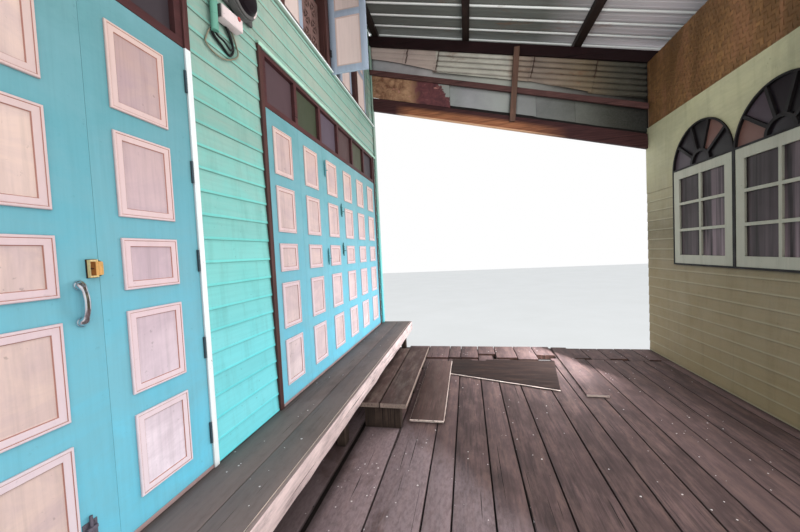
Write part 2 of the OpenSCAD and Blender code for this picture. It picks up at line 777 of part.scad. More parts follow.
// The outline of ribbed sheeting across a width: flat pans and raised ribs of one thickness
module ribbed_outline(w) {
    count = floor(w / rib_step);
    start = (w - count * rib_step) / 2;
    top_w = 28;
    foot_w = 56;
    crest = [for (i = [0:count]) each [
        [start + i * rib_step - foot_w / 2, 0], [start + i * rib_step - top_w / 2, rib_h],
        [start + i * rib_step + top_w / 2, rib_h], [start + i * rib_step + foot_w / 2, 0]]];
    line = concat([[0, 0]], [for (p = crest) if (p[0] > 0 && p[0] < w) p], [[w, 0]]);
    lower = [for (i = [len(line) - 1:-1:0]) line[i]];
    polygon(concat([for (p = line) [p[0], p[1] + sheet_t]], lower));
}

// A ribbed sheet whose ribs run down the slope from x0 to x1, lying on z at x0
module ribbed_slope(x0, x1, z, pitch, y, w) {
    length = (abs(x1 - x0) - (rib_h + sheet_t) * sin(pitch)) / cos(pitch);
    translate([x0, y, z]) mirror([x1 < x0 ? 1 : 0, 0, 0]) rotate([0, pitch, 0])
        rotate([90, 0, 90]) linear_extrude(length) ribbed_outline(w);
}

module main_roof_sheets() color(sheet_grey) {
    gap = 12;
    z = main_top(ridge_x) + main_rafter_h + main_purlin_h - gap * main_slope;
    for (s = [-1, 1])
        ribbed_slope(ridge_x + s * gap, ridge_x + s * (house_depth / 2 + eave), z, main_pitch,
            near_y - verge, frontage + 2 * verge);
}

// A folded cap over the ridge
module ridge_cap() color(sheet_grey) {
    w = 220;
    z = main_top(ridge_x) + main_rafter_h + main_purlin_h + (rib_h + sheet_t) / cos(main_pitch);
    drop = w * main_slope;
    along_y(near_y - verge, frontage + 2 * verge)
        polygon([[ridge_x, z], [ridge_x + w, z - drop], [ridge_x + w, z - drop + sheet_t],
            [ridge_x, z + sheet_t], [ridge_x - w, z - drop + sheet_t], [ridge_x - w, z - drop]]);
}

// Long rafters from the house wall over the boardwalk and the wing to the far eave
module deck_rafters() color(dark_wood)
    for (i = [0:frame_count - 2])
        sloping_beam(face_x, right_x - 60, rafter_top(face_x), deck_slope, rafter_h,
            spread(i, frame_count, near_y, end_frame_y), rafter_w);

// The two beams of the frame at the far end
module end_beams() color([0.45, 0.24, 0.16]) {
    sloping_beam(face_x, right_x - 60, rafter_top(face_x), deck_slope, rafter_h, end_frame_y, rafter_w);
    sloping_beam(face_x, wing_x, tie_top(face_x), tie_slope, tie_h, end_frame_y, rafter_w);
}

rail_drop = 545;
rail_slope = tan(15.1);
rail_t = 80;
strut_t = 40;
strut_w = 80;
strut_lean = 100;

function rail_top(x) = rafter_z - rail_drop - (x - face_x) * rail_slope;

// A thin rail and a leaning post nailed over the near side of the end beams
module end_struts() color(dark_wood) {
    foot_x = face_x + 0.535 * walkway_w;
    head_x = foot_x + strut_lean;
    foot_z = tie_top(foot_x) - tie_h / 2;
    head_z = rafter_top(head_x) - rafter_h / 2;
    sloping_beam(face_x, wing_x, rail_top(face_x), rail_slope, rail_t, end_frame_y - strut_t, strut_t);
    along_y(end_frame_y - strut_t, strut_t) polygon([[foot_x, foot_z], [foot_x + strut_w, foot_z],
        [head_x + strut_w, head_z], [head_x, head_z]]);
}

// Closing sheets behind the struts: one between rafter and rail, one between rail and lower beam
module end_sheets() color(sheet_grey) {
    t = 12;
    edge = 2;
    y = end_frame_y + (rafter_w - t) / 2;
    mid = rail_top(face_x) - rail_t / 2;
    mid_end = rail_top(wing_x) - rail_t / 2;
    along_y(y, t) polygon([[face_x, rafter_top(face_x) - rafter_h],
        [wing_x, rafter_top(wing_x) - rafter_h], [wing_x, mid_end + edge], [face_x, mid + edge]]);
    along_y(y, t) polygon([[face_x, mid - edge], [wing_x, mid_end - edge],
        [wing_x, tie_top(wing_x)], [face_x, tie_top(face_x)]]);
}

module deck_purlins() color(dark_wood) {
    count = floor((right_x - face_x - purlin_start - purlin_w) / purlin_step);
    for (x = concat([face_x + 60], [for (i = [0:count]) face_x + purlin_start + i * purlin_step]))
        sloping_beam(x, x + purlin_w, rafter_top(x) + purlin_h, deck_slope, purlin_h,
            near_y - verge / 2, frontage + verge);
}

module deck_roof_sheets() color(sheet_grey)
    ribbed_slope(face_x + 2, right_x, rafter_top(face_x) + purlin_h, deck_pitch,
        near_y - verge, frontage + 2 * verge);

// The outline of an arched opening, straight sides and a round head, in Y and Z
module arch_outline(y) {
    translate([y, sill_z]) square([arch_w, head_z - sill_z]);
    intersection() {
        translate([y + arch_w / 2, head_z]) circle(r = head_r, $fn = 96);
        translate([y, head_z]) square([arch_w, arch_w]);
    }
}

sash_x = -10;
door_frame_w = 40;

module wing_wall() color(cream)
    difference() {
        mirror([1, 0, 0]) half_lapped_wall(-wing_x, near_y, deck_top, frontage, wing_board_h, wall_t,
            wing_lap, wing_laps, wing_lap_t);
        for (y = [pair_y, near_pair_y], k = [0, 1])
            along_x(wing_x - cut, wall_t + 2 * cut) arch_outline(y + k * arch_w);
        box(wing_x - cut, doorway_y, deck_top - cut, wall_t + 2 * cut, doorway_w, doorway_h + cut);
        for (y = [doorway_y - joint_gap, doorway_y + doorway_w])
            box(wing_x - cut, y, deck_top - cut, wall_t + 2 * cut, joint_gap, wing_board_h + 2 * cut);
    }

bamboo_set = 20;
bamboo_t = 30;

// Underside of the lean-to rafters
function wing_head(x) = rafter_top(x) - rafter_h;

// Woven bamboo from the top of the boards to the rafters
module bamboo_panel() color([0.45, 0.3, 0.18])
    along_y(near_y, frontage) polygon([[wing_x + bamboo_set, wing_board_z],
        [wing_x + bamboo_set + bamboo_t, wing_board_z],
        [wing_x + bamboo_set + bamboo_t, wing_head(wing_x + bamboo_set + bamboo_t)],
        [wing_x + bamboo_set, wing_head(wing_x + bamboo_set)]]);

module wing_end_walls() color(cream) {
    inner_x = wing_x + bamboo_set + bamboo_t;
    for (y = [near_y, far_y - wall_t])
        along_y(y, wall_t) polygon([[wing_x + wall_t, deck_top], [wing_back_x - wall_t, deck_top],
            [wing_back_x - wall_t, wing_head(wing_back_x - wall_t)], [inner_x, wing_head(inner_x)],
            [inner_x, wing_board_z], [wing_x + wall_t, wing_board_z]]);
}

module wing_back_wall() color(cream)
    difference() {
        lapped_wall(wing_back_x, near_y, deck_top, frontage,
            wing_head(wing_back_x) - deck_top, wall_t, wing_lap, wing_lap_t);
        for (k = [0, 1])
            along_x(wing_back_x - wall_t - cut, wall_t + 2 * cut)
                arch_outline(back_pair_y + k * arch_w);
    }

// A dark arched frame with a rail at the spring of the arch
module arch_frame(y, x) {
    difference() {
        along_x(x, wall_t + 14) arch_outline(y);
        along_x(x - cut, wall_t + 14 + 2 * cut) {
            translate([y + arch_frame_w, sill_z + arch_frame_w])
                square([arch_w - 2 * arch_frame_w, arch_h - 1.5 * arch_frame_w]);
            fan_outline(y);
        }
    }
}

// The half-round light above the sash
module fan_outline(y)
    intersection() {
        translate([y + arch_w / 2, head_z]) circle(r = head_r - arch_frame_w, $fn = 96);
        translate([y, spring_z + arch_frame_w / 2]) square([arch_w, arch_w]);
    }

module window_frames() color([0.14, 0.11, 0.12]) {
    for (y = [pair_y, near_pair_y], k = [0, 1]) arch_frame(y + k * arch_w, wing_x - 14);
    for (k = [0, 1]) arch_frame(back_pair_y + k * arch_w, wing_back_x - wall_t);
    box(wing_x, doorway_y, deck_top, wall_t, door_frame_w, doorway_h);
    box(wing_x, doorway_y + doorway_w - door_frame_w, deck_top, wall_t, door_frame_w, doorway_h);
    box(wing_x, doorway_y + door_frame_w + joint_gap, deck_top + doorway_h - door_frame_w, wall_t,
        doorway_w - 2 * (door_frame_w + joint_gap), door_frame_w);
}

sash_w = arch_w - 2 * arch_frame_w;
sash_h = arch_h - 1.5 * arch_frame_w;

// The six lights of a sash, two by three
module sash_panes(x, y, t) {
    pane_w = (sash_w - 2 * sash_bar_w - glazing_bar_w) / 2;
    pane_h = (sash_h - 2 * sash_bar_w - 2 * glazing_bar_w) / 3;
    for (i = [0, 1], j = [0:2])
        box(x, y + arch_frame_w + sash_bar_w + i * (pane_w + glazing_bar_w),
            sill_z + arch_frame_w + sash_bar_w + j * (pane_h + glazing_bar_w), t, pane_w, pane_h);
}

module sash(x, y)
    difference() {
        box(x, y + arch_frame_w, sill_z + arch_frame_w, sash_t, sash_w, sash_h);
        sash_panes(x - cut, y, sash_t + 2 * cut);
    }

module window_sashes() color([0.85, 0.84, 0.76]) {
    for (y = [pair_y, near_pair_y], k = [0, 1]) sash(wing_x + sash_x, y + k * arch_w);
    for (k = [0, 1]) sash(wing_back_x - sash_x - sash_t, back_pair_y + k * arch_w);
}

fan_hub_d = 240;

// Radial bars and a half-round hub inside a fanlight
module fan_grid_outline(y)
    intersection() {
        fan_outline(y);
        translate([y + arch_w / 2, spring_z]) {
            difference() {
                circle(d = fan_hub_d + 2 * glazing_bar_w, $fn = 64);
                circle(d = fan_hub_d, $fn = 64);
            }
            for (i = [1:fan_bars])
                rotate(i * 180 / (fan_bars + 1))
                    translate([(fan_hub_d + glazing_bar_w) / 2, -glazing_bar_w / 2])
                        square([arch_w, glazing_bar_w]);
        }
    }

module fan_panes(x, y)
    along_x(x, pane_t) difference() {
        fan_outline(y);
        fan_grid_outline(y);
    }

module fanlights() color([0.14, 0.11, 0.12]) {
    for (y = [pair_y, near_pair_y], k = [0, 1])
        along_x(wing_x + sash_x, sash_t) fan_grid_outline(y + k * arch_w);
    for (k = [0, 1])
        along_x(wing_back_x - sash_x - sash_t, sash_t) fan_grid_outline(back_pair_y + k * arch_w);
}

stilts();
bearers();
house_joists();
deck_joists();
floors();
deck_boards();
deck_patches();
ledge_planks();
ledge_frame();
step_boards();
front_piers();
near_jambs();
far_jambs();
near_folding_doors();
far_folding_doors();
transoms();
glass_panes();
door_fittings();
rim_latch();
bow_handle();
meter_box();
front_bands();
upper_posts();
closed_shutters();
open_shutter();
carved_panel();
party_walls();
back_wall();
main_rafters();
main_purlins();
main_roof_sheets();
ridge_cap();
deck_rafters();
end_beams();
end_struts();
end_sheets();
deck_purlins();
deck_roof_sheets();
wing_wall();
bamboo_panel();
wing_end_walls();
wing_back_wall();
window_frames();
window_sashes();
fanlights();
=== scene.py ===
"""Looks for the timber stilt house: paint, weathered planks, zinc sheets, and the detail that the
construction leaves out. Everything is in metres in the row's frame."""

from math import cos, exp, pi, radians, sin, sqrt, tan
from random import Random

import bmesh
import bpy
from mathutils import Matrix, Vector, noise


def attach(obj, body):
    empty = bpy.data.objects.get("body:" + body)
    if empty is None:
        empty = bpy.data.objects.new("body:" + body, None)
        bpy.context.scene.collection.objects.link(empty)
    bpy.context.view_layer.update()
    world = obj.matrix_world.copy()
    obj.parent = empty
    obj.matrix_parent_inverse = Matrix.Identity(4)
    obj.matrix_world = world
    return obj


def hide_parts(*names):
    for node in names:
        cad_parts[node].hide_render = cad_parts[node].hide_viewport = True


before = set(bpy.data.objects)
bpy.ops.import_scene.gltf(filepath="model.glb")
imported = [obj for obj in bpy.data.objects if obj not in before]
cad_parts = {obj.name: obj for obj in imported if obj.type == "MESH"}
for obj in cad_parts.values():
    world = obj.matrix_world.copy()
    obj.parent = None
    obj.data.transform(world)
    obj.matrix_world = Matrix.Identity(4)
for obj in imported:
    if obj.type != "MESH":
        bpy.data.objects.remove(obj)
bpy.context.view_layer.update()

# Places shared with the construction
FACE, BACK_FACE = -1.155, -5.155    # outer faces of the mint walls
NEAR, FAR = -3.4485, 3.4485         # the two ends of the house
LENGTH = FAR - NEAR
DECK = 2.2                          # top of the boardwalk
FLOOR = 2.63                        # top of the ledge and the house floor
LEAF_Z, LEAF_H, LEAF_T = 2.6303, 2.236, 0.038
TRANSOM_Z = LEAF_Z + LEAF_H + 0.003
BAND_Z, WINDOW_Z, TOP_BAND_Z, PLATE_Z = 5.2903, 5.8003, 7.0703, 7.7703
WING, WING_BACK = 2.755, 5.155      # outer faces of the cream walls
RAFTER_Z, RAFTER_H = 7.2303, 0.160  # the lean-to rafters at the mint wall
PITCH = radians(12.6)
TIE_SLOPE, TIE_H = tan(radians(14.8)), 0.200
NEAR_SET, NEAR_LEAF = -3.2615, 0.490
FAR_SET, FAR_LEAF = 0.3765, 0.479
PIER = (-0.2875, 0.3315)            # the boarded pier between the door sets
FIRST_POST, LAST_POST = -3.1355, 3.1995
LAP = 0.130                         # a board of the cream wall
BAMBOO_Z = 5.300                    # foot of the bamboo panel


def falling(z, slope):
    """The height of a line that falls along X from z at the mint wall, as a function of x."""
    return lambda x: z - (x - FACE) * slope


rafter_top = falling(RAFTER_Z, tan(PITCH))
rail_top = falling(RAFTER_Z - 0.545, tan(radians(15.1)))
tie_top = falling(RAFTER_Z - 0.970, TIE_SLOPE)
bamboo_foot = falling(BAMBOO_Z, 0.0)


# Meshes


def wave(at, seed, size=1.0):
    """A smooth random number about 0, the same on each run."""
    return noise.noise(Vector((at, seed * 7.31, seed * 1.7))) * size


def circle(radius, sides, centre=(0, 0)):
    """Points round a centre, as pairs."""
    turns = [2 * pi * k / sides for k in range(sides)]
    return [(centre[0] + radius * cos(a), centre[1] + radius * sin(a)) for a in turns]


def facing(x, y, z, face):
    """Puts what looks along +X at a point, turned to -X where face is -1."""
    return Matrix.Translation((x, y, z)) @ Matrix.Diagonal((face, 1, 1, 1))


class Pile:
    """Closed solids gathered into one object, each face with a material number and a tone. Points
    are given from the pile's origin."""

    def __init__(self, origin=(0, 0, 0)):
        self.origin = origin
        self.points, self.faces, self.kinds, self.tones = [], [], [], []

    def solid(self, points, faces, kinds, tone=0.5, matrix=None):
        base = len(self.points)
        for p in points:
            p = matrix @ Vector(p) if matrix else p
            self.points.append([a + b for a, b in zip(p, self.origin)])
        self.faces += [[base + k for k in face] for face in faces]
        self.kinds += kinds
        self.tones += [tone] * len(faces)

    def box(self, low, high, kind=0, tone=0.5, matrix=None):
        (a, b, c), (d, e, f) = low, high
        points = [(a, b, c), (d, b, c), (d, e, c), (a, e, c), (a, b, f), (d, b, f), (d, e, f), (a, e, f)]
        faces = [(0, 3, 2, 1), (4, 5, 6, 7), (0, 1, 5, 4), (1, 2, 6, 5), (2, 3, 7, 6), (3, 0, 4, 7)]
        self.solid(points, faces, [kind] * 6, tone, matrix)

    def loft(self, rings, kinds=0, tone=0.5, caps=None, matrix=None, steps=None):
        """A closed skin over rings of as many points each. kinds is a material number or one for
        each side, steps one for each ring instead, and caps are those of the two ends."""
        n, last = len(rings[0]), len(rings) - 1
        sides = [kinds] * n if isinstance(kinds, int) else kinds
        faces, numbers = [], []
        for r in range(last):
            for k in range(n):
                m = (k + 1) % n
                faces.append((r * n + k, r * n + m, (r + 1) * n + m, (r + 1) * n + k))
                numbers.append(steps[r] if steps else sides[k])
        faces += [range(n)[::-1], range(last * n, last * n + n)]
        numbers += caps or [sides[0]] * 2
        self.solid([p for ring in rings for p in ring], faces, numbers, tone, matrix)

    def plate(self, outline, x0, x1, kind=0, tone=0.5):
        """A flat solid whose outline lies in the Y-Z plane."""
        self.loft([[(x, y, z) for y, z in outline] for x in (x0, x1)], kind, tone)

    def board(self, low, high, axis, seed, round_off=0.004, sway=0.002, kind=0, edges=None, cap=None,
              step=0.35, tone=None, matrix=None):
        """A board along axis (0, 1 or 2) in the box from low to high, its edges worn round and a
        little wavy. edges are the materials of its low and high narrow sides, cap of its ends."""
        u, v = [i for i in range(3) if i != axis]
        if high[u] - low[u] < high[v] - low[v]:
            u, v = v, u
        count = max(2, int((high[axis] - low[axis]) / step) + 1)
        r = min(round_off, (high[v] - low[v]) * 0.4)
        n = r * 0.3
        rings = []
        for i in range(count):
            s = low[axis] + i / (count - 1) * (high[axis] - low[axis])
            u0 = low[u] + abs(wave(s * 1.9, seed, sway))
            u1 = high[u] - abs(wave(s * 1.7, seed + 50, sway))
            v0 = low[v]
            v1 = high[v] - abs(wave(s * 0.8, seed + 90, sway * 0.8))
            outline = [(u0 + r, v0), (u1 - r, v0), (u1 - n, v0 + n), (u1, v0 + r), (u1, v1 - r),
                       (u1 - n, v1 - n), (u1 - r, v1), (u0 + r, v1), (u0 + n, v1 - n), (u0, v1 - r),
                       (u0, v0 + r), (u0 + n, v0 + n)]
            ring = []
            for a, b in outline:
                p = [0.0, 0.0, 0.0]
                p[axis], p[u], p[v] = s, a, b
                ring.append(p)
            rings.append(ring)
        a, b = edges or (kind, kind)
        kinds = [kind, b, b, b, b, kind, kind, a, a, a, a, kind]
        tone = 0.5 + wave(seed * 3.7, seed, 0.9) if tone is None else tone
        self.loft(rings, kinds, tone, [kind if cap is None else cap] * 2, matrix)

    def round(self, base, tip, radius, kind=0, sides=16, tip_radius=None, crown=0.0):
        """A round bar from base to tip, with a domed tip when crown is given."""
        base, tip = Vector(base), Vector(tip)
        along = (tip - base).normalized()
        side = along.orthogonal().normalized()
        other = along.cross(side)
        tip_radius = tip_radius or radius
        steps = [(base, radius), (tip, tip_radius)]
        for f in (0.35, 0.7, 0.9) if crown else ():
            steps.append((tip + along * crown * sin(f * pi / 2), tip_radius * cos(f * pi / 2)))
        self.loft([[at + side * a + other * b for a, b in circle(r, sides)] for at, r in steps], kind)

    def tube(self, path, radii, across, kind=0, sides=10, flat=1.0):
        """A bar of changing radius along a path square to across, which flat widens it along."""
        path, across = [Vector(p) for p in path], Vector(across)
        rings = []
        for i, p in enumerate(path):
            along = (path[min(i + 1, len(path) - 1)] - path[max(i - 1, 0)]).normalized()
            up = along.cross(across).normalized()
            rings.append([p + across * a * flat + up * b for a, b in circle(radii[i], sides)])
        self.loft(rings, kind)

    def moulded(self, low, high, profile, tone=0.5, matrix=None):
        """A mitred moulding of material 1 round a panel of material 2 in the Y-Z plane, facing +X at
        x = 0. profile lists (inset, height, material number of the step after it)."""
        (y0, z0), (y1, z1) = low, high
        profile = [(0.0, -0.001, 1)] + profile
        rings = []
        for inset, x, _ in profile:
            a, b, c, d = y0 + inset, y1 - inset, z0 + inset, z1 - inset
            rings.append([(x, a, c), (x, b, c), (x, b, d), (x, a, d)])
        self.loft(rings, 1, tone, [1, 2], matrix, [step[2] for step in profile])

    def make(self, name, materials, replaces="", bevel=0.0, segments=2, smooth=None):
        """The pile as a piece. materials and replaces are names with spaces between them."""
        mesh = bpy.data.meshes.new(name)
        mesh.from_pydata(self.points, [], self.faces)
        for material in materials.split():
            mesh.materials.append(Shade.made[material])
        mesh.polygons.foreach_set("material_index", self.kinds)
        mesh.attributes.new("tone", "FLOAT", "FACE").data.foreach_set("value", self.tones)
        work = bmesh.new()
        work.from_mesh(mesh)
        bmesh.ops.recalc_face_normals(work, faces=work.faces)
        work.to_mesh(mesh)
        work.free()
        if smooth:
            mesh.polygons.foreach_set("use_smooth", [True] * len(mesh.polygons))
            mesh.set_sharp_from_angle(angle=radians(smooth))
        piece = bpy.data.objects.new(name, mesh)
        bpy.context.scene.collection.objects.link(piece)
        if bevel:
            soften(piece, bevel, segments)
        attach(piece, "root")
        if replaces:
            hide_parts(*replaces.split())


def soften(piece, width, segments=2):
    """Rounds the sharp edges of a piece."""
    worn = piece.modifiers.new("Worn edges", "BEVEL")
    worn.width = width
    worn.segments = segments
    worn.limit_method = "ANGLE"
    worn.angle_limit = radians(35)
    worn.use_clamp_overlap = True


# Materials


def linear(colour):
    """A colour of three numbers from 0 to 255, as shader values."""
    values = [c / 255 for c in colour]
    return [c / 12.92 if c <= 0.04045 else ((c + 0.055) / 1.055) ** 2.4 for c in values] + [1.0]


def scaled(values, factor, plus=0):
    return [c * factor + plus for c in values]


def add_node(tree, kind, inputs=None, **settings):
    """A node with its settings and its inputs, each a value or a link."""
    made = tree.nodes.new(kind)
    for key, value in settings.items():
        setattr(made, key, value)
    for key, value in (inputs or {}).items():
        if isinstance(value, bpy.types.NodeSocket):
            tree.links.new(value, made.inputs[key])
        else:
            made.inputs[key].default_value = value
    return made


class Shade:
    """A node material with the few steps that all the finishes here are made of. Its colour is laid
    on in coats, and a colour is three numbers from 0 to 255 or a link."""

    made = {}

    def __init__(self, name, roughness=0.7, metallic=0.0, specular=0.35):
        self.material = Shade.made[name] = bpy.data.materials.new(name)
        self.material.use_nodes = True
        self.tree = self.material.node_tree
        self.tree.nodes.clear()
        self.surface = self.node("ShaderNodeBsdfPrincipled", {
            "Roughness": roughness, "Metallic": metallic, "Specular IOR Level": specular})
        self.node("ShaderNodeOutputMaterial", {"Surface": self.surface.outputs["BSDF"]})
        self.place = self.node("ShaderNodeTexCoord").outputs["Object"]
        self.tone = self.node("ShaderNodeAttribute", attribute_name="tone").outputs["Fac"]

    def node(self, kind, inputs=None, **settings):
        return add_node(self.tree, kind, inputs, **settings)

    def math(self, operation, a, b=0.0, clamp=False):
        return self.node("ShaderNodeMath", {0: a, 1: b}, operation=operation, use_clamp=clamp).outputs[0]

    def times(self, a, *others):
        for b in others:
            a = self.math("MULTIPLY", a, b)
        return a

    def plus(self, a, b):
        return self.math("ADD", a, b)

    def minus(self, a, b):
        return self.math("SUBTRACT", a, b)

    def axis(self, name):
        return self.node("ShaderNodeSeparateXYZ", {0: self.place}).outputs[name]

    def period(self, axis, pitch, start=0.0):
        """From 0 to 1 and again at each pitch along an axis."""
        return self.math("FRACT", self.math("DIVIDE", self.minus(self.axis(axis), start), pitch))

    def off_middle(self, period):
        return self.math("ABSOLUTE", self.minus(period, 0.5))

    def spread(self, stretch, shift):
        """Object coordinates times stretch, moved on by each piece's tone."""
        stretch = (stretch,) * 3 if isinstance(stretch, float) else stretch
        moved = self.node("ShaderNodeVectorMath", {0: self.place, 1: stretch}, operation="MULTIPLY")
        by = self.times(self.tone, shift)
        off = self.node("ShaderNodeCombineXYZ", {0: by, 1: by, 2: by})
        both = {0: moved.outputs[0], 1: off.outputs[0]}
        return self.node("ShaderNodeVectorMath", both, operation="ADD").outputs[0]

    def noise(self, stretch, detail=4.0, rough=0.6, warp=0.0, shift=17.0):
        return self.node("ShaderNodeTexNoise", {
            "Vector": self.spread(stretch, shift), "Scale": 1.0, "Detail": detail, "Roughness": rough,
            "Distortion": warp}).outputs["Fac"]

    def cells(self, stretch):
        return self.node("ShaderNodeTexVoronoi", {"Vector": self.spread(stretch, 0.0), "Scale": 1.0}).outputs

    def between(self, value, low, high, start=0.0, end=1.0):
        """value from low to high as start to end, cut off outside."""
        return self.node("ShaderNodeMapRange", {"Value": value, "From Min": low, "From Max": high,
                                                "To Min": start, "To Max": end}, clamp=True).outputs[0]

    def corners(self, distance, low, high, most):
        """Mask for painted shade, from ambient occlusion: most in corners and joints and 0 in the open."""
        near = self.node("ShaderNodeAmbientOcclusion", {"Distance": distance}, samples=6)
        return self.between(near.outputs["AO"], low, high, most, 0.0)

    def mix(self, factor, a, b, kind="MIX"):
        a, b = (c if isinstance(c, bpy.types.NodeSocket) else linear(c) for c in (a, b))
        return self.node("ShaderNodeMix", {0: factor, 6: a, 7: b}, data_type="RGBA", blend_type=kind).outputs[2]

    def coat(self, where, colour, kind="MIX"):
        """Lays a colour over the last one."""
        self.out = self.mix(where, self.out, colour, kind)

    def fade(self, axis, colour):
        """One colour as it is, or a blend along an axis where colour lists (place, colour)."""
        if not isinstance(colour[0], tuple):
            return colour
        out = colour[0][1]
        for (low, _), (high, after) in zip(colour, colour[1:]):
            out = self.mix(self.between(self.axis(axis), low, high), out, after)
        return out

    def finish(self, rough=None, height=None, strength=0.5, distance=0.002):
        self.tree.links.new(self.out, self.surface.inputs["Base Color"])
        if rough is not None:
            self.tree.links.new(rough, self.surface.inputs["Roughness"])
        if height is not None:
            relief = self.node("ShaderNodeBump", {"Height": height, "Strength": strength, "Distance": distance})
            self.tree.links.new(relief.outputs[0], self.surface.inputs["Normal"])


GRAIN = {"x": (2.2, 55.0, 55.0), "y": (55.0, 2.2, 55.0), "z": (55.0, 55.0, 2.2)}
STREAKS = (9.0, 9.0, 0.8)


def painted(name, colour, under, along="z", wear=0.3, dirt=0.5, roughness=0.62, boards=None, occluded=0.06,
            toned=None, blush=None, clouds=0.5, grain_by=0.25, joint=(116, 118, 118), lips=None):
    """Chalky paint on wood: uneven colour, fine grain, run-down dirt, chips, and painted shade of a tint
    of its own in joints and corners. colour can list (height, colour) from low to high, toned is the
    colour of pieces with a high tone, blush (colour, amount, low, high) is a cloudy stain that grows
    with height, and boards the pitch of horizontal joints to draw. lips (start, pitch, top) are heights
    of the lower edges of boards, which get a painted highlight."""
    s = Shade(name, roughness)
    s.out = s.fade("Z", colour)
    if toned:
        s.coat(s.between(s.tone, 0.25, 0.85), toned)
    else:
        s.coat(s.between(s.tone, 0.25, 0.85, 0.0, 0.5), (232, 234, 234), "MULTIPLY")
    s.coat(s.between(s.noise(1.6, 6.0, 0.65, 0.6), 0.38, 0.66, 0.0, clouds), (74, 70, 66), "SCREEN")
    if blush:
        stain, amount, z0, z1 = blush
        where = s.between(s.noise((2.1, 2.1, 4.2), 6.0, 0.68, 0.8), 0.36, 0.62, 0.0, amount)
        s.coat(s.times(where, s.between(s.axis("Z"), z0, z1)), stain)
    grain = s.noise(GRAIN[along], 4.0, 0.65)
    s.coat(s.between(grain, 0.45, 0.75, 0.0, grain_by), (214, 216, 216), "MULTIPLY")
    streak = s.noise(STREAKS, 5.0, 0.7, 0.4)
    s.coat(s.between(streak, 0.50, 0.78, 0.0, 0.6 * dirt), (176, 172, 166), "MULTIPLY")
    s.coat(s.between(s.noise(34.0, 3.0, 0.7), 0.66, 0.72, 0.0, 0.6 * dirt), (136, 132, 128), "MULTIPLY")
    # Painted shade: joints and corners darkened by ambient occlusion, in a tint of its own.
    if occluded:
        s.coat(s.corners(occluded, 0.35, 0.92, 0.8 * (0.4 + 0.6 * dirt)), joint, "MULTIPLY")
    # Painted highlight: a paler band on the lower edge of each board, where light from below catches it.
    if lips:
        start, pitch, top = lips
        lip_highlight = s.between(s.period("Z", pitch, start), 0.07, 0.14, 0.30, 0.0)
        s.coat(s.times(lip_highlight, s.math("LESS_THAN", s.axis("Z"), top)), (192, 186, 160))
    chip = s.between(s.noise(16.0, 6.0, 0.72, 0.3), 0.742 - 0.05 * wear, 0.752 - 0.05 * wear)
    s.coat(chip, under)
    relief = s.plus(s.times(grain, 0.5), s.times(chip, -0.8))
    if boards:
        step = s.period("Z", boards)
        s.coat(s.between(s.off_middle(step), 0.485, 0.497), (120, 120, 120), "MULTIPLY")
        relief = s.plus(relief, s.times(step, 4.0))
    s.finish(s.between(s.noise(7.0), 0.3, 0.7, roughness - 0.08, roughness + 0.16), relief, 0.45, 0.0015)


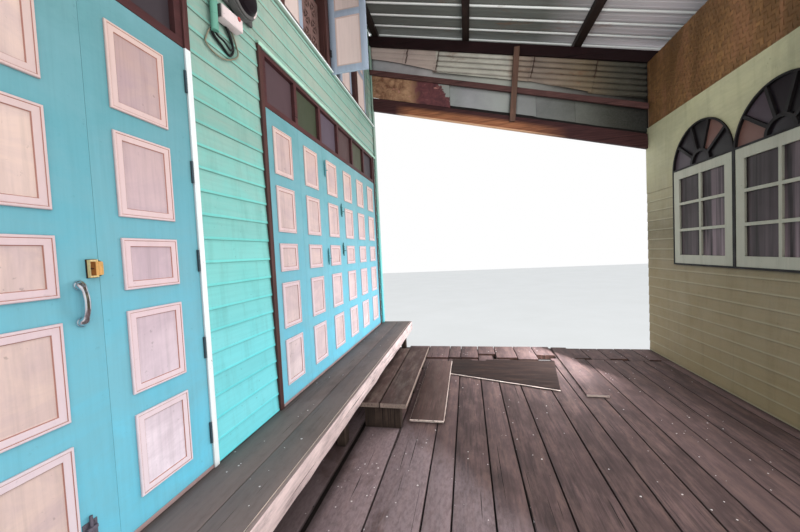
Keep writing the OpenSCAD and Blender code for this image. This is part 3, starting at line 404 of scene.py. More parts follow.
def timber(name, colour, along, roughness=0.78, grey=0.4, worn=0.3, depth=0.0022, occluded=0.08,
           contrast=1.0, dust=None, specks=0.0, cracks=0.665, mottle=None, shade=None):
    """Bare weathered wood: long grain, cracks, stains and paler worn places. dust is (colour,
    amount, without, with) of a dry film in patches, its bounds on y + 1.2 x. mottle (colour, amount)
    is of blotches. specks scatters small pale droppings, most of them beside the ledge. Fewer
    cracks open as cracks goes up, a painted shadow lies to the left of x = shade, and occluded
    paints shade into corners and joints."""
    s = Shade(name, roughness)
    grain = s.noise(GRAIN[along], 7.0, 0.68, 0.25)
    s.out = s.mix(s.between(grain, 0.30, 0.70), scaled(colour, 1 - 0.5 * contrast), colour)
    wide = s.noise(scaled(GRAIN[along], 0.16), 5.0, 0.62, 0.8)
    s.coat(s.between(wide, 0.45, 0.75, 0.0, 0.55 * contrast), scaled(colour, 0.72))
    s.coat(s.between(s.tone, 0.15, 0.95, 0.0, 0.42), scaled(colour, 1.12, 8))
    patches = s.between(s.noise(2.3, 5.0, 0.65, 0.5), 0.48, 0.68)
    pale = [min(255, c) for c in scaled(colour, 1 + 0.38 * contrast, 8)]
    s.coat(s.times(patches, s.between(grain, 0.42, 0.62), worn + 0.2), pale)
    s.coat(s.between(s.noise(1.4, 4.0, 0.6, 0.3), 0.56, 0.74, 0.0, grey), scaled(colour, 0.58, 4))
    if mottle:
        blotch = s.noise(scaled(GRAIN[along], 0.2, 3.0), 7.0, 0.72, 0.12)
        s.coat(s.between(blotch, 0.47, 0.66, 0.0, mottle[1]), mottle[0])
        s.coat(s.between(blotch, 0.30, 0.46, mottle[1], 0.0), scaled(colour, 0.62))
    if dust:
        film, amount, without, covered = dust
        clouds = s.between(s.noise((1.5, 0.9, 1.5), 8.0, 0.68, 0.7, 0.0), 0.40, 0.52)
        fine = s.between(s.noise((60.0, 24.0, 60.0), 5.0, 0.65), 0.25, 0.58, 0.35, 1.0)
        slant = s.plus(s.axis("Y"), s.times(s.axis("X"), 1.2))
        s.coat(s.times(clouds, fine, s.between(slant, without, covered), amount), film)
    if specks:
        spot = s.cells(36.0)
        kind = s.node("ShaderNodeSeparateColor", {0: spot["Color"]}).outputs
        here = s.math("LESS_THAN", spot["Distance"], s.between(kind[1], 0.0, 1.0, 0.08, 0.24))
        x = s.axis("X")
        beside = s.times(s.between(x, -0.66, -0.58), s.between(x, -0.42, -0.34, 1.0, 0.0),
                         s.between(s.axis("Y"), 0.9, 0.4, 0.0, 0.22))
        rare = s.between(s.noise((1.5, 1.1, 1.5), 4.0, 0.6, 0.4, 3.0), 0.40, 0.66, 0.995, 0.86)
        rare = s.math("GREATER_THAN", kind[0], s.minus(rare, beside))
        s.coat(s.times(here, rare, specks), (232, 225, 224))
    # Painted shadow: darker to the left of x = shade, under the ledge.
    if shade is not None:
        s.coat(s.between(s.axis("X"), shade - 0.05, shade, 0.62, 0.0), scaled(colour, 0.45))
    crack = s.noise([g * (1.6 if g > 5 else 0.5) for g in GRAIN[along]], 2.0, 0.5)
    split = s.between(crack, cracks, cracks + 0.035)
    s.coat(split, scaled(colour, 0.22))
    # Painted shade in corners and joints, from ambient occlusion.
    if occluded:
        s.coat(s.corners(occluded, 0.3, 0.9, 0.6), scaled(colour, 0.25))
    relief = s.minus(s.times(grain, 0.8 * contrast), s.times(split, 0.9))
    s.finish(s.between(grain, 0.3, 0.7, roughness - 0.1, roughness + 0.12), relief, 0.7, depth)


def zinc(name, colour, rust=0.4, ribs=None, under=None, occluded=0.0):
    """Dull zinc sheet with stains and rust. colour can list (x, colour) from left to right, under is
    the colour of faces that look down, and ribs the pitch along Y of the ribs there, each painted with a
    highlight on its crest and shade on its flanks. occluded paints shade into corners."""
    s = Shade(name, 0.5, specular=0.5)
    s.out = s.fade("X", colour)
    s.coat(s.between(s.noise((1.1, 2.4, 1.1), 5.0, 0.6, 0.4), 0.4, 0.7, 0.0, 0.8), (190, 190, 190), "MULTIPLY")
    s.coat(s.between(s.cells(90.0)["Color"], 0.3, 0.8, 0.0, 0.16), (90, 90, 90), "SCREEN")
    if under:
        normal = s.node("ShaderNodeNewGeometry").outputs["Normal"]
        height = s.node("ShaderNodeSeparateXYZ", {0: normal}).outputs["Z"]
        patches = s.between(s.noise((0.7, 3.0, 0.7), 6.0, 0.65, 0.5), 0.35, 0.7)
        underside = s.mix(patches, under, scaled(under, 0.8))
        if ribs:
            # Painted light on the ribs: a pale highlight on each crest and dark shade on its flanks.
            off = s.off_middle(s.period("Y", ribs))
            underside = s.mix(s.between(s.axis("X"), 1.35, 2.55), underside, (214, 206, 210))
            underside = s.mix(s.between(off, 0.11, 0.26, 0.5, 0.0), underside, (70, 70, 68))
            underside = s.mix(s.between(off, 0.082, 0.112, 0.95, 0.0), underside, (250, 252, 250))
        s.coat(s.between(height, -0.05, 0.05, 1.0, 0.0), underside)
    rusty = s.plus(s.times(s.noise((1.3, 5.5, 3.0), 8.0, 0.74, 0.25), 0.72),
                   s.times(s.noise((0.5, 0.7, 0.7), 3.0, 0.5), 0.28))
    where = s.between(rusty, 0.575 - 0.05 * rust, 0.64 - 0.04 * rust, 0.0, 0.9)
    brown = s.mix(s.between(s.noise(26.0), 0.35, 0.7), (96, 58, 38), (148, 96, 62))
    s.coat(s.math("MULTIPLY", where, rust + 0.35, clamp=True), brown)
    # Painted shade in corners, from ambient occlusion.
    if occluded:
        s.coat(s.corners(occluded, 0.45, 0.95, 0.9), (84, 70, 62), "MULTIPLY")
    s.finish(s.between(rusty, 0.4, 0.65, 0.5, 0.85), s.plus(s.noise(30.0, 3.0), s.times(where, 0.6)), 0.25)


def glass(name, colours, film, dust, roughness=0.3, specular=0.2, curtain=None):
    """Old glass as an opaque colour with a dry film. Its dark colours are partly the glass's own tint and
    partly painted shade of the unlit space behind it. Each pane takes one of the colours from its tone.
    curtain is the colour of the cloth that hangs in folds behind the panes with a high tone."""
    s = Shade(name, roughness, specular=specular)
    s.out = colours[0]
    for i, colour in enumerate(colours[1:], 1):
        s.coat(s.math("GREATER_THAN", s.tone, i / len(colours)), colour)
    if curtain:
        folds = s.between(s.noise((1.0, 16.0, 0.5), 3.0, 0.55, 0.3, 0.0), 0.38, 0.62)
        low = s.between(s.axis("Z"), 3.5, 4.3, 1.0, 0.35)
        s.coat(s.times(folds, low, s.between(s.tone, 0.3, 0.7, 0.25, 0.9)), curtain)
    cloud = s.noise((3.0, 3.0, 2.0), 6.0, 0.7, 0.4)
    s.coat(s.between(cloud, 0.42, 0.72, 0.0, dust), film)
    s.finish(s.between(cloud, 0.4, 0.7, roughness, roughness + 0.25), s.noise(5.0, 2.0), 0.05)


def chrome():
    """Polished metal with fingermarks, pits and fine scratches."""
    s = Shade("chrome", 0.12, metallic=1.0, specular=0.5)
    marks = s.noise(40.0, 5.0, 0.7)
    s.out = s.mix(s.between(marks, 0.45, 0.75, 0.0, 0.2), (214, 216, 222), scaled((214, 216, 222), 0.45))
    scratches = s.noise((30.0, 400.0, 400.0), 2.0)
    s.finish(s.between(marks, 0.3, 0.7, 0.12, 0.28), s.plus(marks, s.times(scratches, 0.3)), 0.12, 0.0006)


def dark_iron():
    s = Shade("dark_iron", 0.55, metallic=0.6)
    grit = s.noise(120.0, 4.0, 0.7)
    s.out = s.mix(s.between(s.noise(18.0, 5.0, 0.7), 0.52, 0.66), (46, 44, 46), (84, 52, 38))
    s.finish(s.between(grit, 0.3, 0.7, 0.42, 0.75), grit, 0.3, 0.0008)


def gilt_metal(name, colour, worn, metallic):
    """Lacquered brass, brushed along its height, with tarnish in patches."""
    s = Shade(name, 0.34, metallic=metallic, specular=0.5)
    brushed = s.noise((500.0, 500.0, 12.0), 3.0)
    tarnish = s.noise(60.0, 5.0, 0.7)
    s.out = s.mix(s.between(brushed, 0.35, 0.65), colour, scaled(colour, 0.86))
    s.coat(s.between(tarnish, 0.48, 0.72, 0.0, worn), scaled(colour, 0.5))
    s.finish(s.between(tarnish, 0.3, 0.7, 0.28, 0.5), brushed, 0.15, 0.0004)


def jamb_paint():
    """The jamb of the near doors is white beside the leaves and brown beside the transom."""
    s = Shade("jamb_paint", 0.6)
    grain = s.noise(GRAIN["z"], 4.0, 0.65)
    s.out = s.mix(s.between(grain, 0.4, 0.75, 0.0, 0.35), (244, 250, 252), (206, 214, 216))
    s.coat(s.between(s.noise((22.0, 22.0, 9.0), 6.0, 0.72, 0.4), 0.665, 0.68), (96, 104, 100))
    worn = s.mix(s.between(grain, 0.35, 0.7), (76, 46, 46), (112, 72, 70))
    s.coat(s.math("GREATER_THAN", s.axis("Z"), TRANSOM_Z - 0.0013), worn)
    # Painted shade in the jamb's corners, from ambient occlusion.
    s.coat(s.corners(0.04, 0.35, 0.92, 0.6), (120, 120, 120), "MULTIPLY")
    s.finish(None, grain, 0.4, 0.0015)


def end_beam_wood():
    """The lower beam is orange-brown over most of its length and dark red at both ends."""
    s = Shade("end_beam_wood", 0.75)
    grain = s.noise(GRAIN["x"], 7.0, 0.68, 0.25)
    dark = s.mix(s.between(grain, 0.3, 0.7), (44, 24, 26), (80, 50, 50))
    warm = s.mix(s.between(grain, 0.3, 0.7), (96, 58, 42), (184, 122, 86))
    x = s.axis("X")
    inside = s.times(s.between(x, -0.78, -0.55), s.between(x, 1.15, 1.75, 1.0, 0.0))
    height = s.plus(s.axis("Z"), s.times(x, TIE_SLOPE))
    bottom = tie_top(0) - TIE_H
    low = s.between(height, bottom + 0.090, bottom + 0.150, 1.0, 0.0)
    patchy = s.between(s.noise((1.8, 6.0, 9.0), 5.0, 0.65, 0.4), 0.26, 0.50, 0.35, 1.0)
    s.out = s.mix(s.times(inside, patchy, low), dark, warm)
    rim = s.between(height, bottom + 0.010, bottom + 0.016, 1.0, 0.0)
    s.coat(s.times(rim, inside, 0.8), (224, 176, 140))
    s.finish(None, grain, 0.7, 0.0025)


def rust_plank():
    """Rust in blotches at the left and old maroon paint to a ragged right edge."""
    s = Shade("rust_plank", 0.8)
    fine = s.noise(9.0, 6.0, 0.7, 0.5)
    rust = s.mix(s.between(fine, 0.35, 0.65), (112, 76, 58), (186, 148, 116))
    red = s.mix(s.between(fine, 0.4, 0.7), (86, 54, 58), (122, 72, 74))
    x = s.axis("X")
    s.out = s.mix(s.between(s.plus(x, s.times(fine, 0.45)), -0.27, -0.16), rust, red)
    bare = s.plus(s.plus(x, s.times(fine, 0.30)), s.times(s.axis("Z"), 0.6))
    s.coat(s.between(bare, 3.865, 3.88), (150, 154, 150))
    s.coat(s.between(s.noise((5.0, 5.0, 14.0), 5.0, 0.7, 0.3), 0.60, 0.66), (196, 140, 128))
    s.finish(None, fine)


def bamboo_strips():
    s = Shade("bamboo_strips", 0.6)
    fibre = s.noise((30.0, 30.0, 6.0), 5.0, 0.65)
    s.out = s.mix(s.between(s.tone, 0.1, 0.9), (124, 90, 58), (150, 110, 70))
    s.coat(s.between(fibre, 0.4, 0.7, 0.0, 0.5), (92, 66, 44))
    s.coat(s.between(s.noise((0.9, 2.6, 0.7), 6.0, 0.65, 0.5, 0.0), 0.42, 0.62, 0.0, 0.8), (102, 72, 44))
    s.coat(s.between(s.noise((2.2, 4.0, 2.2), 5.0, 0.65, 0.5, 0.0), 0.52, 0.66, 0.0, 0.6), (150, 104, 76))
    s.finish(None, fibre, distance=0.001)


# The height fades below are painted light and shade: the mint, blue, pink and bead colours are lighter and
# bluer low down and darker higher up, and the cream is darkest about 3.9 m up and lightest at the top.
MINT_FADE = ((2.7, (122, 222, 232)), (3.2, (126, 220, 226)), (3.7, (133, 217, 213)), (4.6, (130, 193, 182)),
             (5.4, (150, 188, 174)))
# A brighter, bluer copy of the mint fade for the front of each board's rounded lower edge: a painted highlight.
EDGE_HIGHLIGHT_FADE = tuple((z, tuple(min(255, c * k) for c, k in zip(shade, (0.94, 1.05, 1.05))))
                  for z, shade in MINT_FADE)
BLUE_FADE = ((2.6, (114, 212, 241)), (3.7, (109, 184, 203)), (4.7, (101, 158, 165)))
PINK_FADE = ((2.7, (254, 242, 253)), (3.7, (214, 190, 198)), (4.8, (187, 157, 149)))
BEAD_FADE = ((2.7, (235, 219, 227)), (3.7, (224, 199, 204)), (4.8, (218, 191, 183)))
CREAM_FADE = ((2.2, (150, 132, 99)), (3.3, (140, 125, 94)), (3.9, (117, 106, 80)), (4.4, (160, 150, 118)),
              (4.7, (174, 168, 134)), (5.3, (194, 190, 153)))
BARE_MINT, OLD_MINT, BARE_CREAM, BARE_DARK = (120, 104, 84), (112, 98, 80), (104, 88, 66), (60, 52, 46)
MINT_SHADE_TINT, MINT_STAIN = (96, 130, 122), ((164, 162, 148), 0.6, 1.0, 3.0)
painted("mint_paint", MINT_FADE, BARE_MINT, "y", wear=0.25, dirt=0.55, occluded=0.022, joint=MINT_SHADE_TINT,
        blush=((180, 176, 164), 0.5, 3.6, 5.0))
painted("mint_edge", EDGE_HIGHLIGHT_FADE, BARE_MINT, "y", wear=0.15, dirt=0.3, occluded=0.012, joint=MINT_SHADE_TINT)
painted("mint_pale", (182, 226, 206), BARE_MINT, "y", wear=0.25, occluded=0.02)
painted("mint_paint_ends", (138, 182, 168), OLD_MINT, "x", wear=0.4, dirt=0.9, boards=0.124, blush=MINT_STAIN)
painted("mint_paint_back", (138, 184, 172), OLD_MINT, "y", wear=0.4, dirt=0.9, occluded=0.03, blush=MINT_STAIN)
painted("door_blue", BLUE_FADE, (96, 88, 74), wear=0.1, dirt=0.22, roughness=0.45, grain_by=0.2, clouds=0.35,
        blush=((128, 176, 186), 0.4, 2.0, 2.1))
painted("door_pink", PINK_FADE, (120, 88, 72), wear=0.05, dirt=0.6, occluded=0.03, toned=(222, 196, 185),
        clouds=0.9, grain_by=0.4, blush=((172, 152, 166), 0.42, 2.0, 2.1))
painted("door_moulding", BEAD_FADE, (110, 70, 60), wear=0.62, dirt=0.25, occluded=0.02, grain_by=0.1)
painted("moulding_groove", (176, 122, 108), (110, 70, 60), wear=0.4, dirt=0.4, occluded=0)
painted("sill_paint", (190, 160, 158), (110, 84, 76), "y", wear=0.7, dirt=0.7)
painted("white_paint", (244, 250, 252), (110, 98, 84), wear=0.5, dirt=0.3)
painted("shutter_blue", (172, 186, 206), (110, 96, 84), wear=0.35, dirt=0.4)
painted("shutter_pink", (244, 222, 216), (120, 88, 72), wear=0.2, dirt=0.4)
painted("cream_paint", CREAM_FADE, BARE_CREAM, "y", wear=0.15, blush=((154, 150, 126), 0.4, 3.6, 4.4),
        lips=(DECK, LAP, DECK + 17 * LAP))
painted("cream_paint_back", (164, 158, 130), BARE_CREAM, "y", dirt=0.8, blush=((118, 106, 84), 0.75, 4.6, 2.2))
painted("cream_paint_ends", (160, 156, 130), BARE_CREAM, "x", wear=0.2, dirt=0.6, boards=LAP)
painted("near_black", (24, 20, 21), (58, 50, 46), wear=0.1, dirt=0.3, clouds=0.06)
painted("sash_paint", (174, 172, 156), (118, 106, 90), wear=0.35, dirt=0.6, occluded=0.03)
painted("bolt_grey", (104, 98, 112), BARE_DARK, wear=0.5, dirt=0.6)
painted("bolt_paint", (78, 136, 138), BARE_DARK, wear=0.5, dirt=0.6)
painted("hinge_blue", (64, 84, 94), (50, 48, 48), wear=0.5, dirt=0.6)
painted("bolt_blue", (96, 164, 174), (70, 80, 78), dirt=0.4)
painted("meter_grey", (104, 102, 102), (60, 56, 54), wear=0.1, dirt=0.6)
painted("meter_white", (240, 222, 222), (120, 96, 92), wear=0.1, dirt=0.4)
painted("conduit_green", (116, 178, 158), (70, 84, 76), wear=0.2, dirt=0.7)
painted("seal_red", (186, 74, 72), (90, 50, 46), wear=0.1, dirt=0.3)
painted("cable_black", (34, 34, 36), (60, 58, 56), wear=0.1, dirt=0.4)
painted("cable_beige", (150, 142, 122), (90, 84, 74), wear=0.2, dirt=0.7)
# Near black for the strips in the end frame's gaps: painted shadow.
painted("black_gap", (30, 26, 26), (40, 34, 32), "x", wear=0.1, dirt=0.3, clouds=0.1)
timber("brown_frame", (92, 60, 57), "z", roughness=0.62, grey=0.2, worn=0.15, depth=0.0012, contrast=0.5)
timber("brown_rail", (90, 54, 55), "y", roughness=0.62, grey=0.2, worn=0.2, depth=0.0012, contrast=0.5)
timber("carved_brown", (158, 124, 118), "z", worn=0.35)
timber("deck_wood", (102, 81, 80), "y", grey=0.5, depth=0.0025, contrast=0.75, specks=0.95, cracks=0.695,
       dust=((170, 150, 154), 0.58, 0.80, 0.45), mottle=((138, 110, 103), 0.42), shade=-0.655)
timber("loose_wood", (96, 74, 70), "y", grey=0.5, depth=0.002, contrast=0.6, cracks=0.72,
       mottle=((112, 94, 86), 0.4))
timber("step_wood", (78, 57, 53), "y", grey=0.5, worn=0.35, depth=0.002, contrast=0.7, cracks=0.70,
       mottle=((124, 110, 100), 0.5))
timber("step_edge", (150, 132, 122), "y", grey=0.3, worn=0.5, depth=0.0015, contrast=0.6)
timber("deck_end", (112, 84, 76), "z", grey=0.2, worn=0.2)
# Dark wood for the strips under the deck's gaps: painted shade seen through them.
timber("joint_dirt", (46, 38, 36), "y", worn=0.1, contrast=0.5)
timber("ledge_wood", (118, 103, 99), "y", grey=0.35, worn=0.2, depth=0.0014, contrast=0.5, specks=0.9,
       cracks=0.70, dust=((128, 116, 114), 0.5, 2.4, 2.0), mottle=((126, 108, 102), 0.45))
timber("pale_edge", (232, 210, 200), "y", grey=0.25, worn=0.6, depth=0.0015, occluded=0.0, contrast=0.4)
timber("nosing_top", (150, 130, 126), "y", grey=0.3, worn=0.5, depth=0.0012, contrast=0.6)
timber("nosing_face", (216, 194, 192), "y", grey=0.3, worn=0.6, depth=0.002, occluded=0.05, contrast=0.45,
       mottle=((240, 218, 214), 0.7))
timber("plywood", (38, 24, 21), "x", grey=0.5, worn=0.1, depth=0.001, contrast=0.5, mottle=((74, 52, 43), 0.5))
timber("dark_timber_y", (74, 58, 52), "y")
timber("dark_timber_x", (74, 58, 52), "x")
timber("dark_timber_z", (80, 66, 58), "z")
timber("red_rafter", (38, 20, 22), "x")
timber("purlin_wood", (46, 32, 28), "y")
timber("post_brown", (112, 84, 72), "z", grey=0.25)
timber("rail_red", (92, 62, 60), "x", grey=0.3)
timber("seam_brown", (84, 58, 52), "z")
RIB, RIB_H = 0.24, 0.028
zinc("lean_to_sheet", (150, 152, 150), rust=0.15, ribs=RIB, under=(104, 106, 101))
zinc("main_sheet", (156, 158, 156), rust=0.45, under=(110, 110, 108))
zinc("hung_sheet", (
    (-1.1, (190, 172, 166)), (-0.11, (196, 178, 168)), (-0.09, (208, 204, 192)), (0.95, (206, 202, 190)),
    (1.02, (190, 170, 152)), (1.32, (150, 134, 122)), (2.00, (126, 110, 88)), (2.40, (84, 80, 68)),
    (2.75, (66, 64, 56))), rust=0.22, occluded=0.03)
zinc("plain_zinc", (
    (-1.1, (166, 168, 172)), (-0.4, (188, 184, 186)), (0.2, (182, 184, 178)), (0.9, (178, 180, 171)),
    (1.4, (150, 150, 145)), (2.0, (100, 96, 92)), (2.6, (62, 60, 56))), rust=0.05, occluded=0.05)
zinc("low_zinc", (
    (0.0, (150, 156, 152)), (0.35, (160, 160, 164)), (0.9, (156, 160, 156)), (1.1, (136, 138, 138)),
    (1.9, (102, 104, 98)), (2.3, (64, 65, 58)), (2.7, (42, 43, 40))), rust=0.05, occluded=0.05)
glass("tinted_glass", [(84, 65, 70), (66, 72, 56), (92, 80, 92), (84, 64, 64), (80, 82, 66), (66, 58, 64)],
      (96, 88, 88), 0.15, roughness=0.6, specular=0.4)
glass("sash_glass", [(28, 21, 21), (36, 29, 31)], (58, 46, 47), 0.15, curtain=(164, 142, 149))
glass("fan_glass", [(19, 15, 17), (28, 22, 27), (72, 61, 68), (108, 76, 68)], (48, 38, 42), 0.12)
# The brass colours have little metal in them, so the pale case and keeper colours are partly painted reflection
# of polished brass.
gilt_metal("brass_case", (255, 226, 164), 0.3, 0.2)
gilt_metal("brass_bolt", (150, 92, 40), 0.5, 0.4)
gilt_metal("brass_keeper", (248, 190, 116), 0.3, 0.25)
for finish in (chrome, dark_iron, jamb_paint, end_beam_wood, rust_plank, bamboo_strips):
    finish()


# Finishes of the solids that stay, with how far their edges are worn

FINISH = {
    "stilts": ("dark_timber_z", 0.008), "bearers": ("dark_timber_y", 0.006),
    "house_joists": ("dark_timber_x", 0.004), "deck_joists": ("dark_timber_x", 0.004),
    "floors": ("deck_wood", 0), "ledge_frame": ("dark_timber_z", 0.005),
    "near_jambs": ("jamb_paint", 0.002), "far_jambs": ("brown_frame", 0.002),
    "transoms": ("brown_rail", 0.002), "upper_posts": ("brown_frame", 0.003),
    "carved_panel": ("carved_brown", 0), "party_walls": ("mint_paint_ends", 0),
    "back_wall": ("mint_paint_back", 0), "main_rafters": ("dark_timber_x", 0),
    "main_purlins": ("dark_timber_y", 0), "main_roof_sheets": ("main_sheet", 0),
    "ridge_cap": ("main_sheet", 0), "deck_rafters": ("red_rafter", 0.005),
    "deck_purlins": ("purlin_wood", 0.005), "wing_wall": ("cream_paint", 0),
    "wing_end_walls": ("cream_paint_ends", 0), "wing_back_wall": ("cream_paint_back", 0),
    "window_frames": ("near_black", 0), "window_sashes": ("sash_paint", 0.003),
    "fanlights": ("near_black", 0)
}
for name, (material, worn) in FINISH.items():
    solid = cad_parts[name]
    solid.data.materials.clear()
    solid.data.materials.append(Shade.made[material])
    if worn:
        weld = solid.modifiers.new("Joined corners", "WELD")
        weld.merge_threshold = 0.0001
        soften(solid, worn)


# Folding doors

PANEL_ROWS = [(0.135, 0.490), (0.578, 0.933), (1.021, 1.239), (1.327, 1.682), (1.770, 2.125)]
PANEL_W, PANEL_SIDE, LEAF_GAP = 0.265, 0.09, 0.0003
DOOR_MOULDING = [(0.0, 0.006, 1), (0.0025, 0.0095, 1), (0.0090, 0.0095, 3), (0.0110, 0.0070, 1),
                 (0.015, 0.0080, 1), (0.034, 0.0072, 3), (0.0365, 0.0032, 2), (0.042, 0.0015, 2)]


def leaf_set(name, node, start, width, warmth):
    """Six leaves, each a slab with five moulded panels on both faces. warmth is each leaf's tone."""
    pile = Pile((FACE, 0, LEAF_Z))
    for i in range(6):
        y = start + i * width
        tone = 0.3 + 0.4 * Random(i * 3 + int(width * 1000)).random()
        pile.box((-LEAF_T, y + LEAF_GAP, 0), (0, y + width - LEAF_GAP, LEAF_H), 0, tone)
        side = y + PANEL_SIDE + (width - NEAR_LEAF) / 2
        for j, (low, high) in enumerate(PANEL_ROWS):
            for face in (1, -1):
                tone = warmth[i] + 0.12 * Random(i * 11 + j * 5 + face).random()
                pile.moulded((side, low), (side + PANEL_W, high), DOOR_MOULDING, tone,
                             facing(0 if face > 0 else -LEAF_T, 0, 0, face))
    pile.board((0.0002, start, 0), (0.0035, start + 6 * width, 0.021), 1, 90, 0.001, 0.001, kind=4, tone=0.4)
    pile.make(name, "door_blue door_moulding door_pink moulding_groove sill_paint", node,
              bevel=0.0009, segments=1)


leaf_set("near_leaves", "near_folding_doors", NEAR_SET, NEAR_LEAF, [0.80] * 5 + [0.15])
leaf_set("far_leaves", "far_folding_doors", FAR_SET, FAR_LEAF, [0.55] * 6)


def screw(pile, x, y, z, radius=0.0035, kind=0):
    """A domed screw head on a face that looks along +X."""
    pile.round((x - 0.0005, y, z), (x + 0.0006, y, z), radius, kind, 10, crown=0.0011)


def butt_hinge(pile, y, z, kind):
    """A leaf and five knuckles."""
    half, knuckle = 0.0575, 0.023
    pile.box((-0.001, y - 0.0060, z - half), (0.002, y + 0.0060, z + half), kind)
    for k in range(5):
        low = z - half + k * knuckle
        pile.round((0.0065, y, low + 0.0005), (0.0065, y, low + knuckle - 0.0005), 0.0050, kind, 14)


def barrel_bolt(pile, y, z, w, h, kind):
    """A plate with three staples and a sliding bar with a turned-up knob."""
    half = w / 2
    pile.box((0, y - half, z), (0.003, y + half, z + h), kind)
    for dz in (0.018, h * 0.5, h - 0.030):
        pile.box((0.003, y - half * 0.7, z + dz), (0.018, y + half * 0.7, z + dz + 0.012), kind)
    pile.round((0.0095, y, z - 0.02), (0.0095, y, z + h + 0.022), 0.0055, kind)
    pile.round((0.010, y, z + h * 0.36), (0.036, y, z + h * 0.36), 0.004, kind, crown=0.003)
    for dz in (0.008, h - 0.008):
        for side in (1, -1):
            screw(pile, 0.003, y + side * half * 0.65, z + dz, kind=kind)


fittings = Pile((FACE, 0, LEAF_Z))
for i in range(5):
    butt_hinge(fittings, NEAR_SET + 6 * NEAR_LEAF - 0.0070, (0.089 + i * 0.2085) * LEAF_H, 2)
for y, z, w, h, kind in ((NEAR_SET + 5 * NEAR_LEAF - 0.104, 0.025, 0.048, 0.165, 1),
                         (FAR_SET + 3 * FAR_LEAF - 0.030, 0.71 * LEAF_H, 0.030, 0.11, 0),
                         (FAR_SET + 3 * FAR_LEAF - 0.030, 0.51 * LEAF_H, 0.030, 0.11, 0),
                         (FAR_SET + 2 * FAR_LEAF + 0.042, 0.876 * LEAF_H, 0.026, 0.125, 3),
                         (FAR_SET + 2 * FAR_LEAF + 0.022, 0.473 * LEAF_H, 0.026, 0.125, 3)):
    barrel_bolt(fittings, y, z, w, h, kind)
fittings.make("hinges_and_bolts", "bolt_paint bolt_grey hinge_blue bolt_blue", "door_fittings",
              bevel=0.0006, smooth=35)

LATCH_Y, LATCH_Z = NEAR_SET + 5 * NEAR_LEAF, LEAF_Z + LEAF_H / 2
CASE, SPLIT = (-0.0420, -0.0130), -0.0235
latch = Pile((FACE, LATCH_Y, LATCH_Z))
# A dark plate a little larger than the case, behind it, is a painted shadow round the latch.
latch.plate([(-0.046, -0.0355), (-0.010, -0.0355), (0.0065, -0.0275), (0.0065, 0.0275), (-0.010, 0.0355),
             (-0.046, 0.0355)], 0.0, 0.003, 1)
latch.box((0.003, CASE[0], -0.0335), (0.017, CASE[1], 0.0335))
latch.box((0.017, -0.0400, -0.0265), (0.0185, SPLIT, 0.0265), 2)
latch.plate([(CASE[1], -0.026), (0.0005, -0.026), (0.0030, -0.022), (0.0030, 0.022), (0.0005, 0.026),
             (CASE[1], 0.026)], 0.003, 0.0185, 3)
latch.box((0.017, SPLIT, -0.026), (0.0185, CASE[1], 0.026), 3)
latch.box((0.0185, -0.0375, -0.0025), (0.0190, -0.0300, 0.0025), 1)
latch.round((0.0185, -0.0385, 0), (0.0191, -0.0385, 0), 0.0036, 1, 20)
for z in (-0.030, 0.030):
    screw(latch, 0.017, -0.018, z, 0.0026)
latch.make("rim_latch_case", "brass_case dark_iron brass_bolt brass_keeper", "rim_latch", bevel=0.0010,
           smooth=35)

SPAN, FOOT_R = 0.136, 0.020
handle = Pile((FACE, LATCH_Y - 0.073, LATCH_Z - 0.127))
path, radii = [], []
for i in range(33):
    t = i / 32
    path.append((0.004 + 0.030 * sin(pi * t) ** 0.42, 0, (t - 0.5) * SPAN))
    near_foot = max(0.0, 1 - min(t, 1 - t) / 0.16)
    radii.append(0.0084 + 0.0016 * sin(pi * t) ** 2 + 0.0075 * near_foot ** 1.5)
handle.tube(path, radii, (0, 1, 0), sides=24, flat=1.12)
for z in (-SPAN / 2, SPAN / 2):
    handle.round((0, 0, z), (0.005, 0, z), FOOT_R, sides=32, tip_radius=0.0185, crown=0.009)
handle.make("bow_pull", "chrome", "bow_handle", smooth=50)


# Lapped boards of the front

FIRST_LAP = 2.748
LAPS = ((3.45, 0.1227), (4.10, 0.1312), (4.95, 0.124), (5.20, 0.112), (5.50, 0.136), (9.0, 0.124))
BOARDED = ((NEAR, NEAR_SET - 0.034, FLOOR, BAND_Z), (*PIER, FLOOR, BAND_Z),
           (FAR_SET + 6 * FAR_LEAF + 0.045, FAR, FLOOR, BAND_Z), (NEAR, FIRST_POST, WINDOW_Z, TOP_BAND_Z),
           (LAST_POST, FAR, WINDOW_Z, TOP_BAND_Z), (NEAR, FAR, BAND_Z, WINDOW_Z),
           (NEAR, FAR, TOP_BAND_Z, PLATE_Z))


def lap_edges(z0, z1):
    """Lower edges of the boards between two heights; the boards aren't all equally wide."""
    edges, z = [z0], FIRST_LAP
    while z < z1 - 0.025:
        if z > z0 + 0.025:
            edges.append(z)
        z += next(pitch for limit, pitch in LAPS if z < limit)
    return edges + [z1]


